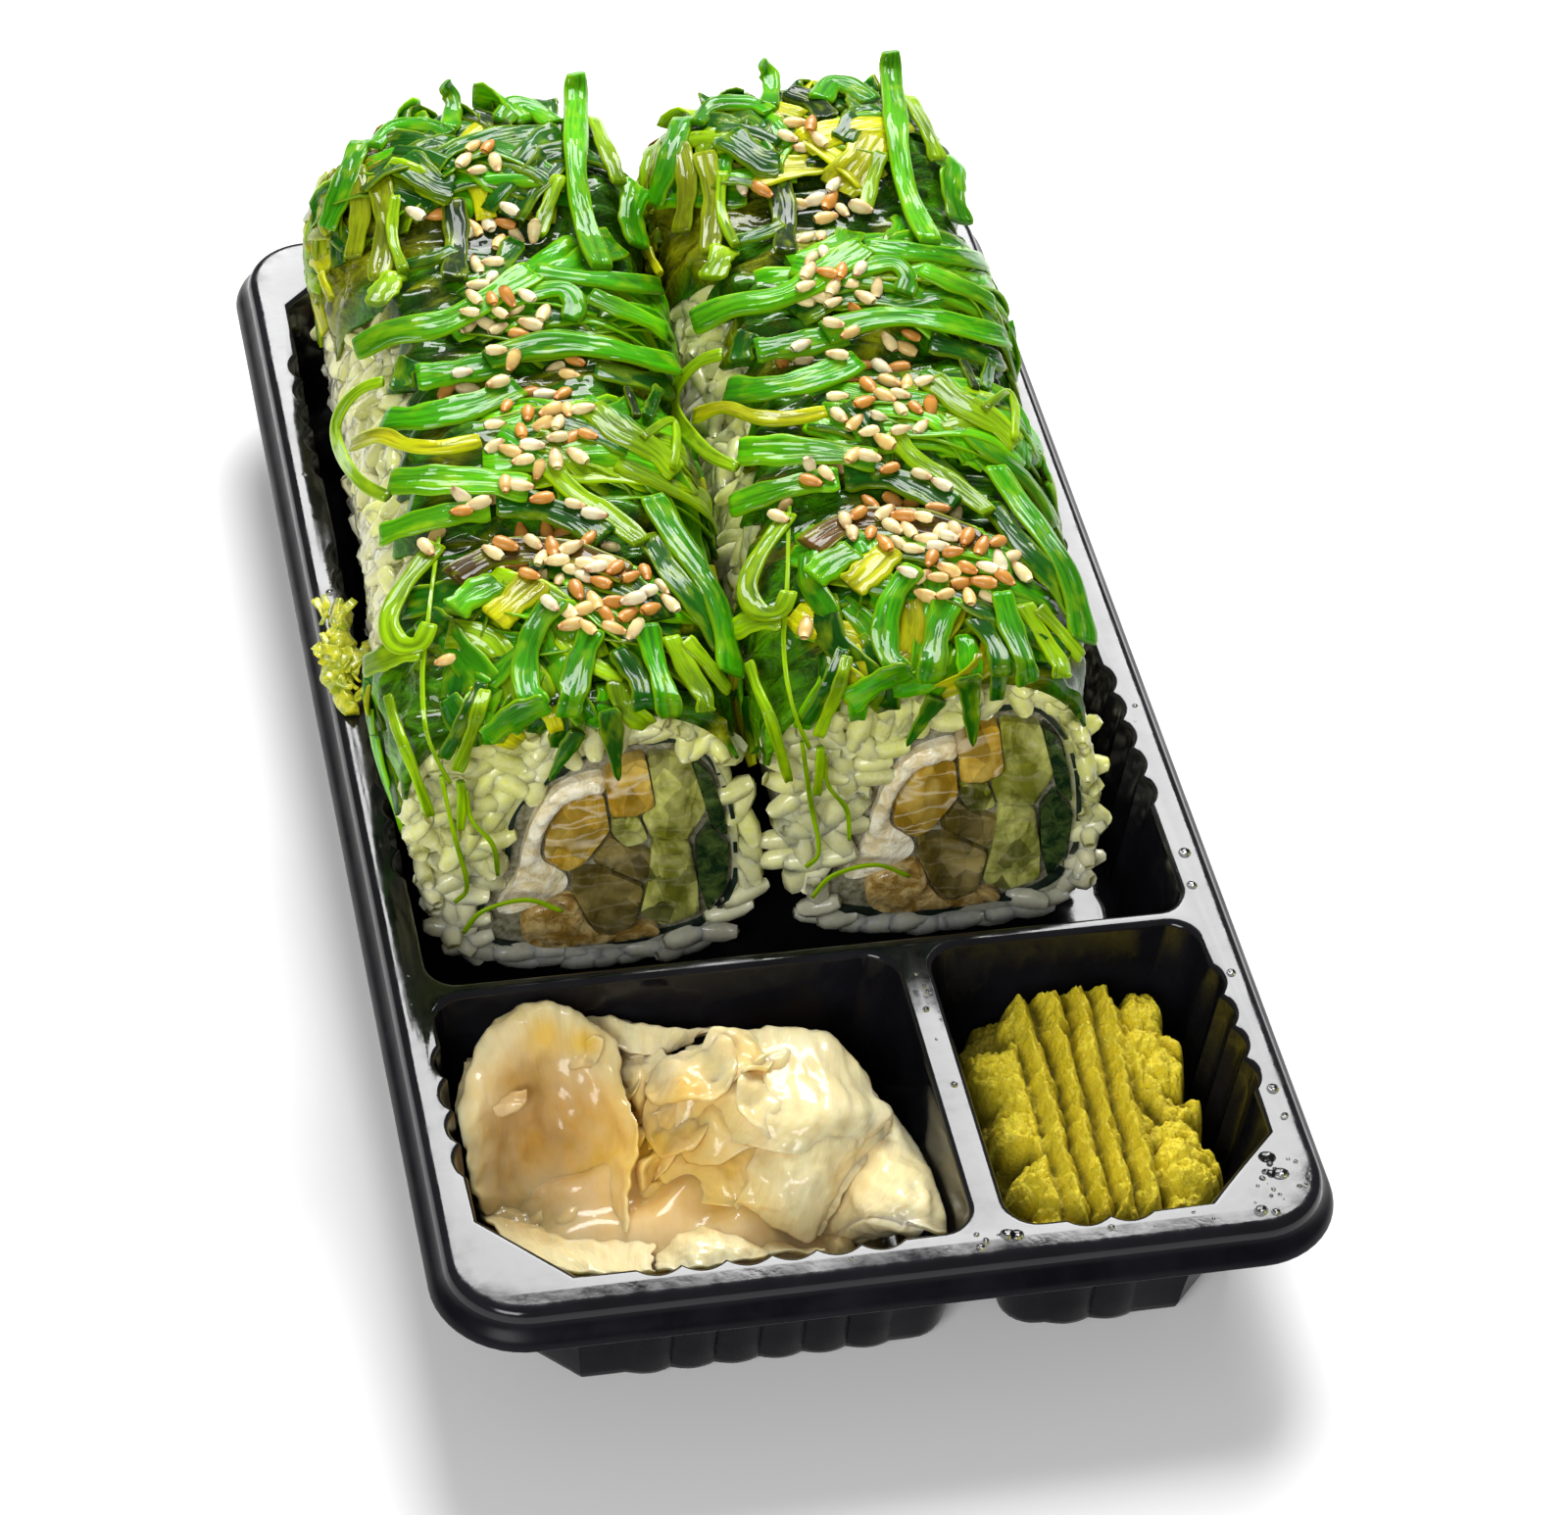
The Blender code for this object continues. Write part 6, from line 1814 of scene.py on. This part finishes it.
def keep_in_pocket(pocket, points):
    """Points moved, where they have to be, to stand clear of the pocket's walls and corners."""
    points = points.copy()
    inset = wall_inset(points[..., 2]) + WALL_CLEARANCE
    left, right = pocket["left"] + inset, pocket["right"] - inset
    front, back = pocket["front"] + inset, pocket["back"] - inset
    points[..., 0] = np.clip(points[..., 0], left, right)
    points[..., 1] = np.clip(points[..., 1], front, back)
    corners = (
        (left, front, "front_left", 1.0, 1.0), (right, front, "front_right", -1.0, 1.0),
        (right, back, "back_right", -1.0, -1.0), (left, back, "back_left", 1.0, -1.0),
    )
    for corner_x, corner_y, name, inward_x, inward_y in corners:
        leg = CHAMFER if name in pocket["chamfered"] else 0.6 * POCKET_RADIUS
        short = leg - np.abs(points[..., 0] - corner_x) - np.abs(points[..., 1] - corner_y)
        short = np.maximum(short, 0.0)
        points[..., 0] += 0.5 * short * inward_x
        points[..., 1] += 0.5 * short * inward_y
    points[..., 2] = np.maximum(points[..., 2], FLOOR + FLOOR_CLEARANCE)
    return points


def ginger_tint(points, shift):
    """Colour of the ginger at points: pale, with amber in its folds, amber painted as shade on its low
    slices, and deep brown painted as shade in the hollow of the hood.
    """
    cloud = 0.5 + 0.9 * noise_at(points, 0.13, 8.0 + shift)
    # Amber grows towards the low slices: painted shade under the ones above them.
    share = 0.24 * np.clip(cloud, 0.0, 1.0) + 0.5 * ramp(points[:, 2], 13.5, 6.5)
    tint = blend(GINGER_PALE, GINGER_AMBER, share[:, None])
    for x, y, height, reach, strength, colour in AMBER_SPOTS:
        spot = spot_at(x, y, height)
        away = np.linalg.norm(points - spot, axis=1) / reach
        share = np.clip(strength * np.exp(-away ** 2) * (0.8 + 0.4 * cloud), 0.0, 1.0)
        tint = blend(tint, colour, share[:, None])
    return tint


def make_ginger(finish):
    """Thin folded slices of pickled ginger over a soft mound of more slices."""
    pocket = pockets()[1]
    for number, (name, net) in enumerate(GINGER_NETS.items()):
        net = np.array(net, float)
        rows, columns = net.shape[:2]
        flat = net.reshape(-1, 3)
        corners = at_height(flat[:, :2], flat[:, 2]).reshape(rows, columns, 3)
        fine_rows, fine_columns = 12 * rows, 12 * columns
        surface = curve_through(corners, fine_rows)
        surface = curve_through(surface.transpose(1, 0, 2), fine_columns).transpose(1, 0, 2)
        down = np.gradient(surface, axis=0)
        across = np.gradient(surface, axis=1)
        normals = unit(np.cross(across, down))
        normals *= np.sign(normals[..., 2:3] + 1e-6)
        wrinkle = noise_at(surface * (1.0, 0.45, 1.0), 0.5, 3.0 * number)
        fine = noise_at(surface, 1.3, number)
        surface = surface + normals * (0.55 * wrinkle + 0.14 * fine)[..., None]
        u = np.linspace(0.0, 1.0, fine_columns)[None, :]
        v = np.linspace(0.0, 1.0, fine_rows)[:, None]
        edge = np.minimum(np.minimum(u, 1.0 - u) * columns, np.minimum(v, 1.0 - v) * rows)
        ragged = noise_at(surface, 0.55, 40.0 + number)
        surface = surface + 0.9 * (ragged * np.clip(1.0 - edge * 2.0, 0.0, 1.0))[..., None] * unit(across)
        thick = GINGER_THICKNESS * (0.35 + 0.65 * np.clip(edge * 1.6, 0.0, 1.0))
        under = surface - normals * thick[..., None]
        tint = ginger_tint(surface.reshape(-1, 3), number)
        if name == "ginger_shade":
            tint = tint * SHADED_SLICE
        lengths = stacked(u * columns * 5.0, v * rows * 5.0, float(number)).reshape(-1, 3)
        heap = Heap()
        closed_grid(
            heap, keep_in_pocket(pocket, surface), keep_in_pocket(pocket, under),
            np.concatenate((tint, tint)), np.concatenate((lengths, lengths)),
        )
        heap.make(f"{name}_slice", finish, "ginger", (name,) if name in GINGER_NODES else ())


def ginger_crumbs(finish):
    """Small crumpled slices that fill the gaps between the large ones."""
    pocket = pockets()[1]
    rng = np.random.default_rng(12)
    heap = Heap()
    steps = 22
    grid = np.linspace(-1.0, 1.0, steps)
    across, along = np.meshgrid(grid, grid)
    stretch = np.sqrt(1.0 - 0.5 * along ** 2), np.sqrt(1.0 - 0.5 * across ** 2)
    summit = spot_at(*CRUMPLE_MIDDLE)
    for number, (x, y, height, size) in enumerate(GINGER_CRUMBS):
        middle = spot_at(x, y, height)
        away = (middle - summit) / CRUMPLE_RADIUS
        slope = away[:2] if np.linalg.norm(away) < 1.2 else np.zeros(2)
        reach = size * rng.uniform(0.75, 1.2, 2)
        turn = rng.uniform(0.0, math.pi)
        flat = stacked(across * stretch[0] * reach[0], along * stretch[1] * reach[1], 0.0)
        bent = noise_at(flat + 9.0 * number, 0.2)
        fine = noise_at(flat + 5.0 * number, 0.7)
        cup = rng.uniform(0.0, 0.16) * 3.6 / size
        flat[..., 2] = 3.2 * bent + 0.6 * fine - cup * flat[..., 0] ** 2
        cosine, sine = math.cos(turn), math.sin(turn)
        turned = stacked(
            flat[..., 0] * cosine - flat[..., 1] * sine,
            flat[..., 0] * sine + flat[..., 1] * cosine,
            flat[..., 2],
        )
        turned[..., 2] -= turned[..., :2] @ slope
        edge = np.clip(2.5 * (1.0 - np.maximum(np.abs(across), np.abs(along))), 0.0, 1.0)
        under = turned - np.array((0.0, 0.0, 1.0)) * (0.5 + 0.7 * edge)[..., None]
        tint = ginger_tint((middle + turned).reshape(-1, 3), 3.0 * number) * rng.uniform(0.9, 1.04)
        tint = np.concatenate((tint, tint))
        place = np.concatenate((flat, flat)).reshape(-1, 3) + 4.0 * number
        sheets = [keep_in_pocket(pocket, middle + sheet) for sheet in (turned, under)]
        closed_grid(heap, *sheets, tint, place)
    heap.make("ginger_crumbs", finish, "ginger")


def ginger_mound(finish):
    """More slices under the ones that show, as one soft mound on the pocket's floor."""
    pocket = pockets()[1]
    rings, sectors = 18, 90
    radius = np.linspace(0.02, 1.0, rings)[:, None]
    turn = 2.0 * math.pi * np.arange(sectors)[None, :] / sectors
    x = MOUND_MIDDLE[0] + MOUND_REACH[0] * radius * spow(np.cos(turn), 0.75)
    y = MOUND_MIDDLE[1] + MOUND_REACH[1] * radius * spow(np.sin(turn), 0.75)
    top = MOUND_HEIGHT * (1.0 - radius ** 3) ** 0.6
    flat = stacked(x, y, 0.0)
    z = FLOOR + 1.0 + top * (0.85 + 0.3 * noise_at(flat, 0.14))
    points = keep_in_pocket(pocket, stacked(x, y, z)).reshape(-1, 3)
    foot = points[-sectors:].copy()
    foot[:, 2] = FLOOR + 0.2
    points = np.concatenate((points, foot, [points[:sectors].mean(0)], [foot.mean(0)]))
    heap = Heap()
    # The mound keeps only part of its colour: painted shade under the slices.
    tint = ginger_tint(points, 9.0) * MOUND_SHADE
    heap.add(points, tipped_faces(rings + 1, sectors), tint, points * 0.5)
    heap.make("ginger_mound", finish, "ginger")


def wasabi_sides(y):
    """Left and right edge of the paste at distances y."""
    share = (y - WASABI_FRONT) / (WASABI_BACK - WASABI_FRONT)
    near_back = np.clip((share - 0.85) / 0.15, 0.0, 1.0)
    near_front = np.clip((0.14 - share) / 0.14, 0.0, 1.0)
    left = WASABI_EDGES[0] + 4.5 * near_back + 0.4 * np.sin(0.9 * y)
    right = WASABI_EDGES[1] - 3.2 * near_back - 4.0 * near_front
    return left, right + 0.7 * np.sin(0.6 * y)


def rounded_lumps(rng, x, y, count, sizes):
    """Heights of many overlapping half spheres scattered over the paste."""
    height = np.zeros_like(x)
    radii = rng.uniform(*sizes, count)
    spots = np.stack((rng.uniform(x.min(), x.max(), count), rng.uniform(y.min(), y.max(), count)), 1)
    for (middle_x, middle_y), radius in zip(spots, radii):
        inside = radius ** 2 - (x - middle_x) ** 2 - (y - middle_y) ** 2
        height = np.maximum(height, np.sqrt(np.maximum(inside, 0.0)))
    return height


def make_wasabi(finish):
    """The paste: a mound with comb ridges, torn clods at its sides and a grainy skin."""
    pocket = pockets()[2]
    rows, columns = 210, 170
    t = np.linspace(0.0, 1.0, rows)[:, None]
    s = np.linspace(0.0, 1.0, columns)[None, :]
    y = WASABI_BACK + (WASABI_FRONT - WASABI_BACK) * t
    left, right = wasabi_sides(y)
    x = left + (right - left) * s
    flat = stacked(x, y, 0.0)
    side = np.clip(np.minimum(x - left, right - x) / 7.0, 0.0, 1.0)
    end = np.clip(np.minimum(y - WASABI_FRONT, WASABI_BACK - y) / 5.0, 0.0, 1.0)
    z = WASABI_EDGE_TOP + (WASABI_MIDDLE_TOP - WASABI_EDGE_TOP) * np.sqrt(side) * (0.45 + 0.55 * np.sqrt(end))
    wander = 0.6 * noise_at(flat, 0.12, 4.0) + 0.7 * noise_at(flat, 0.5, 3.0)
    ridges = np.array([back + (front - back) * t for back, front in zip(RIDGE_BACK_X, RIDGE_FRONT_X)])
    half = 0.5 * (ridges[-1] - ridges[0]) / (len(ridges) - 1)
    nearest = np.full_like(x, 1e9)
    for ridge in ridges:
        nearest = np.minimum(nearest, np.abs(x + wander - ridge) / half)
    combed = np.clip((x - ridges[0] + 2.6) / 1.2, 0.0, 1.0) * np.clip((ridges[-1] + 2.2 - x) / 1.2, 0.0, 1.0)
    combed = combed * np.clip((WASABI_BACK - 1.0 - y) / 2.0, 0.0, 1.0)
    rng = np.random.default_rng(41)
    clods = rounded_lumps(rng, x, y, *WASABI_CLODS)
    crumbs = rounded_lumps(rng, x, y, *WASABI_CRUMBS)
    lumps = noise_at(flat, 0.42, 7.0)
    grit = noise_at(flat, 1.5, 2.0)
    specks = noise_at(flat, 3.4, 5.0)
    crest = RIDGE_DEPTH * (0.50 - np.clip(nearest, 0.0, 1.0) ** 1.25)
    rough = 1.25 * clods - 3.6 + 1.0 * lumps
    skin = (0.45 + 0.35 * (1.0 - combed)) * crumbs + 0.5 * grit + 0.25 * specks
    z = z + combed * (crest + 0.5 * lumps) + (1.0 - combed) * rough + skin
    # Painted shade in the grooves between the ridges and low between the clods, and painted light on crests
    # and clod tops.
    shade = combed * (1.1 - 0.75 * np.clip(nearest, 0.0, 1.0) ** 3)
    shade = shade + (1.0 - combed) * (0.45 + 0.7 * np.clip(clods / 2.6, 0.0, 1.0))
    tint = np.tile(shade.reshape(-1, 1), (2, 3))
    fall = np.clip(np.minimum(np.minimum(s, 1.0 - s) * 16.0, np.minimum(t, 1.0 - t) * 20.0), 0.0, 1.0)
    z = FLOOR + 0.6 + (z - FLOOR - 0.6) * np.sin(0.5 * math.pi * fall) ** 0.6
    top = stacked(x + 0.5 * lumps * (1.0 - combed), y + 0.3 * grit, z)
    under = stacked(x, y, FLOOR + 0.25)
    heap = Heap()
    closed_grid(heap, keep_in_pocket(pocket, top), keep_in_pocket(pocket, under), tint)
    heap.make("wasabi_paste", finish, "wasabi", ("wasabi",))


def make_drops(finish):
    """Water drops on the rim: most at the front right corner and along the right side."""
    rng = np.random.default_rng(31)
    spots = []
    for x_low, x_high, y_low, y_high, count in DROP_ZONES:
        spots.append(np.stack((rng.uniform(x_low, x_high, count), rng.uniform(y_low, y_high, count)), 1))
    spots = np.concatenate(spots)
    inside = np.zeros(len(spots), bool)
    for pocket in pockets():
        inside |= inside_polygon(spots, np.array(pocket_outline(pocket, -LIP - 0.7, 1.0)))
    corner = np.maximum(np.abs(spots) - (RIM_HALF_X - RIM_RADIUS, RIM_HALF_Y - RIM_RADIUS), 0.0)
    spots = spots[~inside & (np.linalg.norm(corner, axis=1) < RIM_RADIUS - 0.6)]
    sides = 12
    turn = 2.0 * math.pi * np.arange(sides) / sides
    rings = [stacked(reach * np.cos(turn), reach * np.sin(turn), height) for reach, height in DROP_PROFILE]
    points = np.concatenate(rings + [np.array(((0.0, 0.0, 0.0), (0.0, 0.0, DROP_TOP)))])
    radius = rng.uniform(0.25, 1.0, (len(spots), 1)) ** 1.6
    sizes = np.concatenate((radius * rng.uniform(0.7, 1.3, radius.shape), radius, radius), 1)
    places = np.column_stack((spots, np.full(len(spots), TRAY_HEIGHT + 0.01)))
    ways = unit(np.column_stack((rng.normal(0.0, 1.0, (len(spots), 2)), np.zeros(len(spots)))))
    heap = Heap()
    upright = np.tile((0.0, 0.0, 1.0), (len(spots), 1))
    template = (points, tipped_faces(len(DROP_PROFILE), sides))
    scatter(heap, template, places, ways, upright, sizes, np.ones((len(spots), 3)))
    heap.make("water_drops", finish)


def add_light(name, place, size, radiance):
    """A soft rectangular light in metres that the camera doesn't see itself."""
    data = bpy.data.lights.new(name, "AREA")
    data.shape = "RECTANGLE"
    data.size, data.size_y = size
    data.energy = 4.0 * radiance * size[0] * size[1]
    made = bpy.data.objects.new(name, data)
    made.location = place
    made.rotation_mode = "QUATERNION"
    made.rotation_quaternion = (Vector(LIGHT_AIM) - Vector(place)).to_track_quat("-Z", "Y")
    made.visible_camera = False
    bpy.context.collection.objects.link(made)


def set_stage():
    """Pale floor, grey surround and soft lights."""
    world = bpy.data.worlds.new("surround")
    world.use_nodes = True
    surround = world.node_tree.nodes["Background"].inputs
    surround["Color"].default_value = (1.0, 1.0, 1.0, 1.0)
    surround["Strength"].default_value = SURROUND_STRENGTH
    bpy.context.scene.world = world
    bpy.context.scene.view_settings.view_transform = "Standard"
    mesh = bpy.data.meshes.new("floor")
    corners = [(STAGE_REACH * x, STAGE_REACH * y, 0.0) for x, y in ((-1, -1), (1, -1), (1, 1), (-1, 1))]
    mesh.from_pydata(corners, [], [(0, 1, 2, 3)])
    floor = bpy.data.objects.new("floor", mesh)
    made = Finish("floor", 0.6)
    made.colour((STAGE_GREY,) * 3)
    mesh.materials.append(made.material)
    bpy.context.collection.objects.link(floor)
    for name, light in LIGHTS.items():
        add_light(name, *light)


def main():
    """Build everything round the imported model."""
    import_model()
    add_camera()
    set_stage()
    finishes = {kind: soft_finish(*look) for kind, look in SOFT_FINISHES.items()}
    finishes.update(nori=nori_finish(), blanket=blanket_finish(), seaweed=seaweed_finish())
    rice = rice_finish()
    make_tray(plastic_finish(), outer_finish())
    for row in (0, 1):
        rice_core(row, rice)
        rice_grains(row, rice)
        make_fillings(row, finishes)
    make_salads(finishes, seed_finish())
    make_scrap(finishes["shred"])
    ginger = ginger_finish()
    make_ginger(ginger)
    ginger_crumbs(ginger)
    ginger_mound(ginger)
    make_wasabi(wasabi_finish())
    make_drops(drop_finish())
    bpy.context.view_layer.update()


main()
